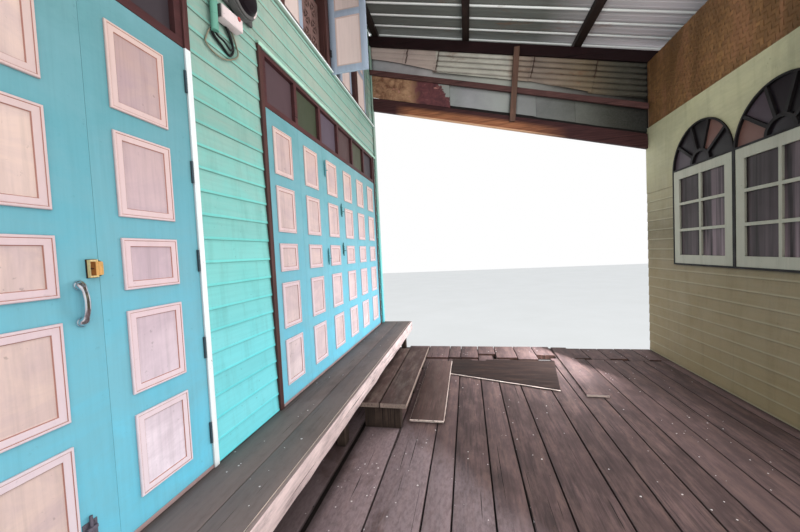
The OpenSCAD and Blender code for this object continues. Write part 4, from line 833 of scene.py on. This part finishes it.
def lapped(pile, y0, y1, z0, z1, seed):
    """Weatherboards on a wall at x = 0: a rounded lower edge with a fine bead line over it."""
    edges = lap_edges(z0, z1)
    stations = max(2, int((y1 - y0) / 0.5) + 1)
    for i, (low, high) in enumerate(zip(edges, edges[1:])):
        high = min(high + 0.004, z1)
        rings = []
        for k in range(stations):
            y = y0 + (y1 - y0) * k / (stations - 1)
            lo = low + (wave(y * 0.7, seed + i, 0.0022) if i else 0.0)
            out = 0.009 + wave(y * 0.9, seed + i + 30, 0.0010)
            slope = out * (1 - 0.90 * 0.026 / (high - low))
            profile = [(-0.006, lo), (out - 0.003, lo), (out - 0.0008, lo + 0.0015), (out, lo + 0.004),
                       (out - 0.0004, lo + 0.0165), (out - 0.0020, lo + 0.0185), (out - 0.0020, lo + 0.0205),
                       (slope - 0.0006, lo + 0.0225), (0.0008, high), (-0.006, high)]
            rings.append([(a, y, b) for a, b in profile])
        # Material 1, the front of the rounded lower edge, is a painted highlight.
        pile.loft(rings, [0, 0, 0, 1, 0, 0, 0, 0, 0, 0], 0.5 + wave(i * 2.3, seed + 7, 1.0))


boards = Pile((FACE - 0.012, 0, 0))
for seed, (y0, y1, z0, z1) in enumerate(BOARDED, 1):
    lapped(boards, y0, y1, z0, z1, seed)
    boards.box((-0.088, y0, z0), (-0.001, y1, z1))
boards.make("front_boards", "mint_paint mint_edge", "front_piers front_bands", smooth=25)

trim = Pile((FACE, 0, 0))
trim.board((0.002, 3.372, FLOOR), (0.022, FAR, RAFTER_Z - 0.17), 2, 401, sway=0.001)
for seed, y0, y1 in ((402, PIER[1] + 0.002, FAR - 0.078), (403, NEAR, PIER[0] - 0.036)):
    trim.board((-0.004, y0, BAND_Z - 0.010), (0.016, y1, BAND_Z + 0.020), 1, seed, sway=0.001, kind=2)
trim.board((-0.02, NEAR, WINDOW_Z - 0.016), (0.030, 3.37, WINDOW_Z + 0.002), 1, 404, sway=0.001, edges=(0, 1))
trim.make("front_trim", "mint_paint white_paint mint_pale", smooth=35)


# Transom panes and windows

panes = Pile((FACE, 0, 0))
for start, width in ((NEAR_SET, NEAR_LEAF), (FAR_SET, FAR_LEAF)):
    for i in range(6):
        low = start + i * width + (0.044 if i == 0 else 0.022)
        high = start + (i + 1) * width - (0.044 if i == 5 else 0.022)
        panes.box((-0.037, low, TRANSOM_Z + 0.044), (-0.032, high, BAND_Z - 0.044), 0, (i + 0.5) / 6)
panes.make("transom_panes", "tinted_glass")

FRAME, SASH_W, SASH_H, SASH_BAR, GLAZING = 0.018, 0.904, 1.096, 0.100, 0.030
PANE_W, PANE_H = (SASH_W - 2 * SASH_BAR - GLAZING) / 2, (SASH_H - 2 * SASH_BAR - 2 * GLAZING) / 3
SILL, SPRING, ARCH = 3.447, 4.570, 0.94
HUB_R, FAN_R, FAN_BAR = 0.121, 0.4515, 0.020
FAN_TONES = ((0.9, 0.6, 0.3, 0.1, 0.3), (0.6, 0.3, 0.1, 0.9, 0.1))
PAIRS = [(0.9485, WING + 0.012), (-2.8285, WING + 0.012), (-0.94, WING_BACK - 0.012)]


def fan_point(middle, reach, angle):
    """A point of a fanlight's pane, clear of the rail under it."""
    return middle + reach * cos(angle), max(SPRING + reach * sin(angle), SPRING + 0.0095)


def fan_pane(middle, q):
    """One of five panes between the hub and the arch."""
    outline = []
    for r, count in ((HUB_R, 4), (None, 8)):
        for p in range(count + 1):
            a = pi * (q + (p if r else count - p) / count) / 5
            reach = r or sqrt(FAN_R ** 2 - (FAN_BAR * cos(a)) ** 2) - FAN_BAR * sin(a)
            outline.append(fan_point(middle, reach, a))
    return outline


lights = Pile()
for start, x in PAIRS:
    for k in range(2):
        y = start + k * ARCH
        for i in range(2):
            for j in range(3):
                low = (x - 0.0025, y + FRAME + SASH_BAR + i * (PANE_W + GLAZING),
                       SILL + FRAME + SASH_BAR + j * (PANE_H + GLAZING))
                tone = 0.15 + 0.7 * (1 - i) - 0.1 * j + 0.15 * Random(k * 7 + i * 3 + j * 13).random()
                lights.box(low, (low[0] + 0.005, low[1] + PANE_W, low[2] + PANE_H), 0, tone)
        middle = y + ARCH / 2
        for q in range(5):
            lights.plate(fan_pane(middle, q), x - 0.002, x + 0.002, 1, FAN_TONES[k][q])
        hub = [fan_point(middle, HUB_R - 0.002, pi * q / 12) for q in range(13)]
        lights.plate(hub, x - 0.002, x + 0.002, 1, 0.3)
lights.make("window_lights", "sash_glass fan_glass", "glass_panes")


# Shutters

BEAD = [(0.0, 0.006, 1), (0.006, 0.006, 1), (0.014, 0.0015, 2)]
OPENING_W, SHUTTER_GAP, MEMBER, SHUTTER_T = 0.860, 0.003, 0.070, 0.030
SHUTTER_W = (OPENING_W - 3 * SHUTTER_GAP) / 2
SHUTTER_Z, SHUTTER_H, OPEN_H = WINDOW_Z + 0.0603, 1.157, 1.250
WINDOW_STEP, POST = 0.950, 0.09
OPEN_Y = FIRST_POST + 4 * WINDOW_STEP + POST


def shutter(pile, w, h, seed, matrix):
    """Frame members round two sunk fields, the lower one a little less high, with beads round each."""
    f, t, low = MEMBER, SHUTTER_T, 0.475 * h
    tone = 0.3 + 0.4 * Random(seed).random()
    for y0, y1 in ((0, f), (w - f, w)):
        pile.board((-t, y0, 0), (0, y1, h), 2, seed, 0.0025, 0.0008, step=0.6, tone=tone, matrix=matrix)
    for z0, z1 in ((0, f), (low, low + f), (h - f, h)):
        pile.board((-t, f, z0), (0, w - f, z1), 1, seed + 3, 0.0025, 0.0008, step=0.6, tone=tone + 0.1,
                   matrix=matrix)
    for z0, z1 in ((f, low), (low + f, h - f)):
        pile.box((-t + 0.008, f - 0.002, z0 - 0.002), (-0.008, w - f + 0.002, z1 + 0.002), 2, tone, matrix)
        for face, x in ((1, -0.008), (-1, -t + 0.008)):
            pile.moulded((f, z0), (w - f, z1), BEAD, tone, matrix @ facing(x, 0, 0, face))


closed = Pile()


def closed_leaf(y, w, seed, x=FACE - 0.045, z=SHUTTER_Z, face=1):
    shutter(closed, w, SHUTTER_H, seed, facing(x, y, z, face))


for i in range(4):
    for k in range(2):
        y = FIRST_POST + i * WINDOW_STEP + POST + SHUTTER_GAP + k * (SHUTTER_W + SHUTTER_GAP)
        closed_leaf(y, SHUTTER_W, 500 + 2 * i + k)
closed_leaf(OPEN_Y + SHUTTER_GAP, SHUTTER_W, 520)
closed_leaf(OPEN_Y + WINDOW_STEP + 2 * SHUTTER_GAP + SHUTTER_W, SHUTTER_W, 521)
closed_leaf(OPEN_Y + 2 * WINDOW_STEP + SHUTTER_GAP, 0.545 - 2 * SHUTTER_GAP, 522)
INSET = 0.19 * LENGTH
for z in (FLOOR + 0.29 * (BAND_Z - FLOOR), WINDOW_Z):
    for y in (NEAR + INSET, FAR - INSET - OPENING_W):
        for k in range(2):
            closed_leaf(y + SHUTTER_GAP + k * (SHUTTER_W + SHUTTER_GAP), SHUTTER_W, 530 + k, BACK_FACE + 0.045,
                        z + 0.0003, -1)
SHUTTER_LOOKS = "shutter_blue door_moulding shutter_pink"
closed.make("closed_shutter_leaves", SHUTTER_LOOKS, "closed_shutters", smooth=35)

opened = Pile((FACE, OPEN_Y + WINDOW_STEP + 0.013, WINDOW_Z - 0.020))
shutter(opened, SHUTTER_W, OPEN_H, 560, Matrix.Translation((0.004, 0, 0)) @ Matrix.Rotation(-pi / 2, 4, "Z"))
for low in (0.14 * OPEN_H, 0.80 * OPEN_H):
    high = low + 0.076
    opened.box((0.010, -0.043, low), (0.014, 0, high), 3)
    opened.round((0.016, -0.004, low), (0.016, -0.004, high), 0.006, 3, 12)
opened.make("open_shutter_leaf", SHUTTER_LOOKS + " dark_iron", "open_shutter", smooth=35)


# Boardwalk, ledge and step

NEAR_WIDTHS = [0.100, 0.327, 0.327, 0.322, 0.172, 0.250, 0.202, 0.228, 0.300, 0.230, 0.230, 0.210, 0.230,
               0.220, 0.230, 0.220, 0.240]
FAR_WIDTHS = [0.100, 0.327, 0.327, 0.322, 0.172, 0.250, 0.245, 0.285, 0.265, 0.250, 0.230, 0.210, 0.230,
              0.220, 0.230, 0.240]
NEAR_ENDS = [0.060, 0.020, 0.045, 0.030, 0.042, 0.042, 0.213, 0.060, 0.0, 0.0, 0.120, 0.120, 0.090, 0.090,
             0.060, 0.060, 0.110]
FAR_ENDS = [0.060, 0.020, 0.045, 0.030, 0.042, 0.042, 0.213, 0.060, 0.0, 0.190, 0.120, 0.150, 0.090, 0.140,
            0.060, 0.110]
JOINT, JOINT_GAP, BOARD_GAP, BOARD_T, RAISED = FAR - 0.590, 0.008, 0.008, 0.040, 0.022
JOISTS = 15
deck = Pile()
for far, widths, ends, seed, sway, spacing in ((False, NEAR_WIDTHS, NEAR_ENDS, 20, 0.0045, 0.16),
                                               (True, FAR_WIDTHS, FAR_ENDS, 60, 0.004, 0.2)):
    x = FACE
    for i, w in enumerate(widths):
        low, high = x + (BOARD_GAP if i else 0), min(x + w, WING)
        x += w
        if low > WING - 0.02:
            break
        top = DECK + (RAISED if far and 2 <= i <= 9 else 0)
        y0, y1 = (JOINT + ends[i], FAR) if far else (NEAR, JOINT - JOINT_GAP + ends[i])
        right = high - 0.032 if i == 1 and not far else high
        deck.board((low, y0, DECK - BOARD_T), (right, y1, top), 1, seed + i, 0.005, sway, cap=1, step=spacing)
        # A dark strip under each gap between the boards stands for the shade below the deck: painted shade.
        deck.board((high - 0.045, y0, DECK - 0.043), (high + 0.020, y1, DECK - 0.026), 1, 45 + i, 0.003, 0.003,
                   kind=3)
        for joist in range(JOISTS):
            y = NEAR + 0.03 + joist * (LENGTH - 0.06) / (JOISTS - 1)
            if (y >= JOINT - 0.03) != far or high - low < 0.12:
                continue
            for side in (low + 0.035, high - 0.035):
                off = wave(y * 5.0, i + side, 0.02)
                spot = (side + off, y + off)
                deck.round((*spot, top - 0.004), (*spot, top - 0.0012), 0.0038, 2, 8)
deck.make("deck_planks", "deck_wood deck_end dark_iron joint_dirt", "deck_boards",
          smooth=40)

PATCH_X, PATCH_Y = FACE + 0.293 * (WING - FACE), FAR - 0.598
LOOSE = ((PATCH_X - 0.322, PATCH_Y - 1.760), (PATCH_X - 0.012, PATCH_Y - 0.120))
LOOSE_CORNER = (LOOSE[1][0], LOOSE[0][1])
PLY = [(PATCH_X + a, PATCH_Y + b) for a, b in (
    (0, -0.56), (0.45, -0.722), (0.84, -0.858), (1.17, -0.975), (1.262, -0.45), (1.345, 0), (0.46, 0),
    (0.452, -0.052), (0.262, -0.046), (0.255, 0), (0, 0))]


def flat_sheet(pile, outline, z0, z1, kind, edge):
    """A thin sheet from its outline; its rim has a material of its own."""
    n = len(outline)
    points = [(x, y, z) for z in (z0, z1) for x, y in outline]
    faces = [range(n)[::-1], range(n, 2 * n)]
    faces += [(k, (k + 1) % n, n + (k + 1) % n, n + k) for k in range(n)]
    pile.solid(points, faces, [kind, kind] + [edge] * n)


def bare_rim(pile, start, end, width, z, seed):
    """A ragged line of bare pale wood on the top along one edge of a board; it lies to the left."""
    start, end = Vector((*start, z)), Vector((*end, z))
    side, thick = (end - start).cross(Vector((0, 0, -1))).normalized(), Vector((0, 0, 0.0012))
    rings = []
    for k in range(25):
        p = start + (end - start) * k / 24
        q = p - side * width * (0.75 + wave(k * 0.9, seed, 0.7))
        rings.append([p, q, q + thick, p + thick])
    pile.loft(rings, 1, 0.6)


patches = Pile()
patches.board((*LOOSE[0], DECK), (*LOOSE[1], DECK + 0.020), 1, 300, 0.003, 0.003, 3, (1, 1), 1, tone=0.3)
turn = Matrix.Translation((PATCH_X + 1.389, FAR - 1.680, DECK)) @ Matrix.Rotation(radians(-1.5), 4, "Z")
patches.board((0, 0, 0), (0.210, 1.670, 0.020), 1, 301, 0.004, 0.004, cap=1, tone=0.45, matrix=turn)
flat_sheet(patches, PLY, DECK + 0.0003, DECK + 0.010, 2, 1)
bare_rim(patches, LOOSE[0], LOOSE_CORNER, 0.020, DECK + 0.0192, 81)
bare_rim(patches, LOOSE_CORNER, LOOSE[1], 0.009, DECK + 0.0192, 82)
bare_rim(patches, PLY[0], PLY[3], 0.020, DECK + 0.0095, 83)
patches.make("loose_boards", "deck_wood pale_edge plywood loose_wood", "deck_patches",
             smooth=40)

LEDGE_T, NOSING_X, NOSING_H, STATIONS = 0.050, 0.450, 0.145, 44
ledge = Pile((FACE, 0, FLOOR))
ledge.board((0, NEAR, -LEDGE_T), (0.2485, FAR, 0), 1, 200, 0.003, 0.0015, cap=1, tone=0.40)
ledge.board((0.250, NEAR, -LEDGE_T), (0.4485, FAR, 0), 1, 201, 0.003, 0.0015, edges=(0, 1), cap=1, tone=0.55)
rings = []
for i in range(STATIONS + 1):
    y = NEAR + LENGTH * i / STATIONS
    top = -0.001 - abs(wave(y * 1.3, 77, 0.002))
    out = NOSING_X + 0.025 - abs(wave(y * 2.1, 78, 0.003))
    foot = abs(wave(y * 5.3, 79, 0.020)) + abs(wave(y * 14.0, 80, 0.008)) - NOSING_H
    rings.append([(NOSING_X, y, foot), (out - 0.004, y, foot), (out, y, foot + 0.006), (out, y, top - 0.008),
                  (out - 0.0025, y, top - 0.0025), (out - 0.008, y, top), (NOSING_X + 0.003, y, top),
                  (NOSING_X, y, top - 0.003)])
ledge.loft(rings, [3, 3, 3, 3, 2, 2, 1, 3])
ledge.make("ledge_boards", "ledge_wood pale_edge nosing_top nosing_face", "ledge_planks",
           smooth=40)

STEP_LEN = 1.700
STEP_Y = FAR - 0.850 - STEP_LEN
step = Pile((FACE + 0.400, 0, DECK + 0.250))
step.board((0, STEP_Y, -0.040), (0.193, STEP_Y + 1.640, 0), 1, 210, 0.005, 0.004, cap=1, tone=0.4)
step.board((0.201, STEP_Y, -0.040), (0.438, STEP_Y + STEP_LEN, 0), 1, 211, 0.005, 0.004, edges=(0, 1), cap=1,
           tone=0.7)
step.make("step_planks", "step_wood step_edge", "step_boards", smooth=40)


# End frame over the boardwalk

END_Y = FAR - 0.060


def sloped(pile, x1, top_line, depth, y0, y1, seed, kind):
    """A straight timber from the mint wall to x1 under a line, its edges a little uneven."""
    count, r = int((x1 - FACE) / 0.3) + 1, 0.005
    rings = []
    for i in range(count):
        x = FACE + (x1 - FACE) * i / (count - 1)
        top = top_line(x) - abs(wave(x * 1.3, seed, 0.004))
        low = top_line(x) - depth + abs(wave(x * 1.1, seed + 9, 0.004))
        rings.append([(x, y0 + r, low), (x, y1 - r, low), (x, y1, low + r), (x, y1, top - r),
                      (x, y1 - r, top), (x, y0 + r, top), (x, y0, top - r), (x, y0, low + r)])
    pile.loft(rings, kind, 0.5 + wave(seed, seed, 0.8))


beams = Pile()
sloped(beams, 5.495, rafter_top, RAFTER_H, END_Y, FAR, 610, 1)
sloped(beams, WING, tie_top, TIE_H, END_Y, FAR, 611, 0)
beams.make("end_frame_beams", "end_beam_wood red_rafter", "end_beams", smooth=40)

POST_W, POST_T, POST_LEAN = 0.080, 0.048, 0.1
struts = Pile()
sloped(struts, WING, rail_top, 0.080, END_Y - 0.040, END_Y, 620, 0)
foot_x = FACE + 0.535 * (WING - FACE)
foot_z = tie_top(foot_x) - 0.1
post_h = rafter_top(foot_x + POST_LEAN) - 0.08 - foot_z
y, r = END_Y - POST_T, 0.004
rings = []
for i in range(5):
    x, z = foot_x + POST_LEAN * i / 4, foot_z + post_h * i / 4
    rings.append([(x + r, y, z), (x + POST_W - r, y, z), (x + POST_W, y + r, z), (x + POST_W, END_Y - 0.001, z),
                  (x, END_Y - 0.001, z), (x, y + r, z)])
struts.loft(rings, 1, 0.6)
struts.make("end_frame_struts", "rail_red post_brown", "end_struts", smooth=40)

ACROSS = Vector((sin(PITCH), 0, cos(PITCH)))
LIP, FILLET = WING + 0.0188, 0.0005
GROOVE_PITCH, FIRST_GROOVE, GROOVE_W, SHEET_T = 0.0775, 0.066, 0.15, 0.0015


def corrugated(pile, x0, x1, drops, y, tone, depth=0.009, upright=0.0):
    """A sheet hung under the rafter from x0 to x1, its narrow grooves along the slope; drops is its
    height at either end, and upright 1 for a right end that stands plumb instead of square to the
    slope."""
    rings = []
    for k in range(7):
        x = x0 + (x1 - x0) * k / 6
        drop = drops[0] + (drops[1] - drops[0]) * k / 6 + wave(x * 3.1, tone * 9, 0.004)
        front, back = [], []
        for i in range(61):
            d = drop * i / 60
            phase = ((d - FIRST_GROOVE) / GROOVE_PITCH + 0.5) % 1.0
            groove = 2.3 * exp(-((phase - 0.5) / GROOVE_W) ** 2) - 0.6
            bend = y + depth * groove + wave(k + d * 2, tone * 9, 0.002)
            at = x - sin(PITCH) * d * (1 - upright * k / 6)
            z = rafter_top(at) - RAFTER_H - d / cos(PITCH)
            front.append((at, bend - SHEET_T / 2, z))
            back.append((at, bend + SHEET_T / 2, z))
        rings.append(front + back[::-1])
    pile.loft(rings, 0, tone)


def strip(pile, x0, x1, upper, lower, y, kind, tone, seed, ragged=0.006):
    """A flat sheet between two sloping lines, each given with a height over it."""
    count = max(3, int((x1 - x0) / 0.12))
    rings = []
    for i in range(count + 1):
        x = x0 + (x1 - x0) * i / count
        front = y + wave(x * 2.1, seed, 0.004)
        top = upper[0](x) + upper[1]
        foot = lower[0](x) + lower[1] + ragged * wave(x * 14, seed + 4)
        rings.append([(x, front - 0.002, foot), (x, front, foot), (x, front, top), (x, front - 0.002, top)])
    pile.loft(rings, kind, tone)


sheets = Pile((0, END_Y + 0.030, 0))
corrugated(sheets, FACE, -0.545, (0.175, 0.220), -0.002, 0.2, 0.0022)
corrugated(sheets, -0.58, -0.06, (0.225, 0.290), -0.006, 0.3, 0.0022)
corrugated(sheets, -0.10, 1.33, (0.315, 0.358), -0.003, 0.5)
corrugated(sheets, 1.30, 2.16, (0.350, 0.440), -0.007, 0.65)
corrugated(sheets, 2.12, WING + 0.0180, (0.450, 0.470), -0.002, 0.8, upright=1.0)
for x, drop in ((-0.530, 0.215), (-0.050, 0.290), (1.330, 0.300), (2.160, 0.240)):
    rings = []
    for k in range(10):
        spot = Vector((x, -0.016, rafter_top(x) - RAFTER_H)) - ACROSS * (drop * k / 9)
        spot.x += wave(k * 0.8, x * 5, 0.012)
        half = 0.0035 + abs(wave(k * 1.1, x * 3, 0.007))
        corners = ((-half, 0), (half, 0), (half, 0.003), (-half, 0.003))
        rings.append([spot + Vector((a, b, 0)) for a, b in corners])
    sheets.loft(rings, 4, 0.3)
UNDER_RAFTER, UNDER_RAIL = (rafter_top, -RAFTER_H - 0.001), (rail_top, -0.03)
strip(sheets, FACE, LIP, UNDER_RAFTER, (rail_top, -0.05), 0.024, 1, 0.4, 31, 0)
strip(sheets, FACE, 0.082, UNDER_RAIL, (tie_top, 0.010), -0.012, 2, 0.4, 32)
strip(sheets, 0.02, 1.32, UNDER_RAIL, (tie_top, 0.046), -0.008, 3, 0.7, 34)
strip(sheets, 1.29, 1.88, UNDER_RAIL, (tie_top, 0.038), -0.004, 3, 0.5, 35)
strip(sheets, 1.85, WING, UNDER_RAIL, (tie_top, 0.030), -0.008, 3, 0.3, 36)
# Two dark strips, above the tie and beside the wing wall, are painted shadow in the gaps there.
strip(sheets, FACE + 0.12, WING, (tie_top, 0.09), (tie_top, -0.004), 0.004, 5, 0.3, 37, 0)
strip(sheets, WING + FILLET, LIP, UNDER_RAFTER, (bamboo_foot, 0.006), -0.006, 5, 0.3, 38, 0)
sheets.make("end_frame_sheets", "hung_sheet plain_zinc rust_plank low_zinc seam_brown black_gap",
            "end_sheets", smooth=50)


# Woven bamboo

CELL, STRIP_GAP, STRIP_T = 0.036, 0.003, 0.002
top_z = rafter_top(WING + 0.020) - RAFTER_H
rows, columns = int((top_z - BAMBOO_Z) / CELL), int(LENGTH / CELL)
weave = Pile((WING + 0.020, 0, 0))
weave.box((0.008, NEAR, BAMBOO_Z), (0.028, FAR, top_z - 0.012), 0, 0.2)
for j in range(rows + 1):
    z0 = BAMBOO_Z + j * CELL
    z1 = min(z0 + CELL - STRIP_GAP, top_z)
    rings = []
    for i in range(columns * 2 + 1):
        y = NEAR + i * LENGTH / (columns * 2)
        x = 0.001 if ((i // 2) + j) % 4 < 2 else 0.007
        rings.append([(x, y, z0), (x + STRIP_T, y, z0), (x + STRIP_T, y, z1), (x, y, z1)])
    weave.loft(rings, 0, Random(j * 3 + 1).random())
for i in range(columns):
    y0, y1 = NEAR + i * LENGTH / columns, NEAR + (i + 1) * LENGTH / columns - STRIP_GAP
    rings = []
    for j in range((rows + 1) * 2 + 1):
        z = min(BAMBOO_Z + j * CELL / 2, top_z)
        x = 0.0015 if (i + (j // 2)) % 4 >= 2 else 0.0065
        if rings and z <= rings[-1][0][2] + 1e-6:
            break
        rings.append([(x, y0, z), (x, y1, z), (x + STRIP_T, y1, z), (x + STRIP_T, y0, z)])
    weave.loft(rings, 0, Random(i * 5 + 2).random())
weave.make("bamboo_weave", "bamboo_strips", "bamboo_panel")


# Meter and its cables

METER = (FACE, PIER[0] + 0.300, BAND_Z - 0.125)
CONDUIT, CONDUIT_R, CONDUIT_FOOT = (0.026, -0.124), 0.0205, -0.080
DISC = (0.1125, 0.268)


def conduit(pile, steps, kind):
    """A stretch of the upright conduit; steps lists (height, radius)."""
    pile.loft([[(x, y, z) for x, y in circle(r, 24, CONDUIT)] for z, r in steps], kind)


def cord(pile, points, radius, kind, x):
    """A round cable through points given as (y, z), flat on the wall."""
    ends = [points[0]] + points + [points[-1]]
    path = []
    for i in range(1, len(ends) - 2):
        a, b, c, d = (Vector((x, *p)) for p in ends[i - 1:i + 3])
        for t in (k / 6 for k in range(6)):
            path.append(0.5 * (2 * b + (c - a) * t + (2 * a - 5 * b + 4 * c - d) * t ** 2
                               + (3 * b - a - 3 * c + d) * t ** 3))
    path.append(Vector((x, *points[-1])))
    pile.tube(path, [radius] * len(path), (1, 0, 0), kind)


meter = Pile(METER)
meter.box((0, -0.070, 0.180), (0.020, 0.255, 0.500))
conduit(meter, [(0.012 + 0.05 * k, CONDUIT_R) for k in range(9)], 4)
conduit(meter, [(0.150, 0.0215), (0.152, 0.0245), (0.198, 0.0245), (0.200, 0.0215)], 4)
meter.loft([[(x, -0.092 + d, 0.014 + d), (x, 0.092 - d, 0.030 + d), (x, 0.092 - d, 0.112 - d),
             (x, -0.092 + d, 0.096 - d)] for x, d in ((0.004, 0.0), (0.056, 0.002), (0.062, 0.008))], 2)
# A grey plate over the left side of the white cover is painted shade on that side.
meter.box((0.002, -0.094, 0.020), (0.050, -0.091, 0.094))
meter.round((0.058, 0.050, 0.093), (0.066, 0.050, 0.093), 0.013, 3, 18, crown=0.004)
meter.plate(circle(0.124, 24, DISC), 0.020, 0.062)
meter.plate(circle(0.118, 24, DISC), 0.062, 0.076)
meter.round((0.076, *DISC), (0.100, *DISC), 0.098, 1, 36, tip_radius=0.088, crown=0.012)
# A white arc round the right of the glass is a painted highlight, the glint on its rim.
meter.loft([[(x, DISC[0] + r * cos(a), DISC[1] + r * sin(a)) for x, r in (
    (0.074, 0.102), (0.080, 0.102), (0.080, 0.114), (0.074, 0.114))]
    for a in (radians(-48 + 7 * k) for k in range(13))], 2)
meter.make("meter_cover", "meter_grey fan_glass meter_white seal_red conduit_green", "meter_box",
           bevel=0.0015, smooth=35)

cables = Pile(METER)
conduit(cables, [(CONDUIT_FOOT, CONDUIT_R), (-0.03, CONDUIT_R), (0.0118, CONDUIT_R)], 2)
cord(cables, [(-0.128, -0.060), (-0.116, -0.090), (-0.050, -0.118), (0.012, -0.140), (0.052, -0.090),
              (0.030, -0.020), (-0.010, 0.030)], 0.0075, 0, 0.006)
cord(cables, [(-0.118, -0.060), (-0.102, -0.084), (-0.040, -0.092), (0.010, -0.112), (0.034, -0.070),
              (-0.004, 0.010)], 0.006, 0, 0.019)
cord(cables, [(-0.138, -0.070), (-0.164, -0.120), (-0.176, -0.170), (-0.110, -0.194), (-0.010, -0.178),
              (0.096, -0.100), (0.086, -0.030), (0.050, 0.032)], 0.0045, 1, 0.003)
cables.make("meter_cables", "cable_black cable_beige conduit_green", smooth=50)


# Lean-to sheets and their screws

PURLIN_H, VERGE, MINOR_RIB_H = 0.070, 0.100, 0.004
EAVE_X = 5.555
RUN = (EAVE_X - FACE - 0.002 - 0.034 * sin(PITCH)) / cos(PITCH)
RIBS = [-3.48 + i * RIB for i in range(30)]
RIB_LINE = ((-0.028, 0.0), (-0.014, RIB_H), (0.014, RIB_H), (0.028, 0.0), (0.074, 0.0), (0.080, MINOR_RIB_H),
            (0.086, 0.0), (0.154, 0.0), (0.160, MINOR_RIB_H), (0.166, 0.0))
SHEETS, STEPS = 8, 11
roof = Pile((FACE + 0.002, 0, RAFTER_Z + PURLIN_H))
for n in range(SHEETS):
    ribs = RIBS[n * 4:n * 4 + 5]
    y0 = ribs[0] - 0.040 if n else NEAR - VERGE
    y1 = ribs[-1] + 0.040 if n < SHEETS - 1 else FAR + VERGE
    line = [(y + dy, h) for y in ribs for dy, h in RIB_LINE if y + dy < y1 - 0.001]
    line = [(y0, 0.0)] + line + [(y1, 0.0)]
    lift = 0.0018 * (n % 2)
    rings = []
    for k in range(STEPS + 1):
        along = RUN * k / STEPS
        ring = []
        for thick, points in ((0.0, line), (0.0016, line[::-1])):
            for y, h in points:
                h += lift + thick + abs(wave(along * 0.8 + y * 3.0, 900 + n, 0.0016))
                ring.append((along * cos(PITCH) + h * sin(PITCH), y, h * cos(PITCH) - along * sin(PITCH)))
        rings.append(ring)
    roof.loft(rings, 0, 0.3 + 0.1 * (n * 3 % 5))
roof.make("lean_to_sheets", "lean_to_sheet", "deck_roof_sheets")

screws = Pile()
for y in RIBS:
    for x in (FACE + 0.11, 0.355, 1.895, 3.435, 4.975):
        spot = Vector((x, y, rafter_top(x) + PURLIN_H / cos(PITCH))) + ACROSS * (RIB_H + 0.002)
        screws.round(spot - ACROSS * 0.004, spot + ACROSS * 0.004, 0.009, 0, 8, crown=0.004)
screws.make("roof_screws", "dark_iron")


# Floor, light and camera

bpy.ops.mesh.primitive_plane_add(size=120, location=(0, 0, -0.002))
ground = bpy.context.object
ground.name = "floor"
stone = Shade("floor_plain", 0.9, specular=0.1)
stone.out = stone.mix(stone.noise(0.4), (226, 225, 222), (236, 235, 233))
stone.finish()
ground.data.materials.append(stone.material)


def lamp(name, place, aim, size, power, colour=(1, 1, 1), depth=None):
    light = bpy.data.lights.new(name, "AREA")
    light.shape = "RECTANGLE"
    light.size, light.size_y = size, depth or size
    light.energy = power
    light.color = colour
    holder = bpy.data.objects.new(name, light)
    bpy.context.scene.collection.objects.link(holder)
    holder.location = place
    holder.rotation_euler = (Vector(aim) - Vector(place)).to_track_quat("-Z", "Y").to_euler()
    holder.visible_camera = False
    holder.visible_glossy = False


lamp("side_soft", (2.60, -0.2, 3.95), (-1.155, -0.2, 4.05), 6.2, 52, (1.0, 0.99, 0.98), depth=2.6)
lamp("near_low", (2.0, -2.2, 3.4), (-1.0, -0.2, 3.1), 1.5, 33, (1.0, 0.98, 0.97))
lamp("walkway_far", (1.5, 3.0, 3.0), (-1.0, 1.6, 2.8), 1.3, 74, (0.98, 0.98, 1.0))
lamp("under_roof", (0.8, -0.3, 5.2), (0.8, -0.3, 9.0), 3.0, 9, (1.0, 1.0, 0.98), depth=5.5)
lamp("over_deck", (0.9, -1.2, 5.9), (0.7, -1.0, 2.0), 2.6, 46, (1.0, 0.98, 0.97))
lamp("upper_end", (1.1, 0.5, 5.5), (-0.2, 3.4, 6.2), 2.0, 34, (1.0, 0.99, 0.97), depth=0.8)
lamp("cream_side", (-0.2, 1.2, 4.9), (2.755, 1.4, 4.9), 2.4, 8, (1.0, 0.99, 0.96), depth=1.0)
lamp("outside_high", (9, -10, 16), (0, 0, 4), 9, 1100)
lamp("outside_left", (-14, 6, 9), (0, 0, 4), 7, 400)

world = bpy.data.worlds.new("studio")
bpy.context.scene.world = world
world.use_nodes = True
sky = world.node_tree
sky.nodes.clear()
plain, bright = (add_node(sky, "ShaderNodeBackground", {"Color": colour, "Strength": 1.0}).outputs[0]
                 for colour in ((0.92, 0.96, 1.0, 1.0), (1.0, 1.0, 1.0, 1.0)))
rays = add_node(sky, "ShaderNodeLightPath").outputs
seen = rays["Is Camera Ray"]
for ray in ("Is Glossy Ray", "Is Transmission Ray"):
    seen = add_node(sky, "ShaderNodeMath", {0: seen, 1: rays[ray]}, operation="MAXIMUM").outputs[0]
blend = add_node(sky, "ShaderNodeMixShader", {0: seen, 1: plain, 2: bright})
add_node(sky, "ShaderNodeOutputWorld", {"Surface": blend.outputs[0]})

camera = bpy.data.cameras.new("view")
camera.lens, camera.sensor_width = 14.85, 36.0
camera.clip_start, camera.clip_end = 0.02, 200.0
eye = bpy.data.objects.new("view", camera)
bpy.context.scene.collection.objects.link(eye)
right, up, back = Vector((0.979, 0.198, -0.049)), Vector((0.040, 0.048, 0.998)), Vector((0.200, -0.979, 0.039))
basis = Matrix((right.normalized(), up.normalized(), back.normalized())).transposed().to_4x4()
eye.matrix_world = Matrix.Translation((0.245, -1.833, 3.75)) @ basis
bpy.context.scene.camera = eye
bpy.context.scene.view_settings.view_transform = "Standard"
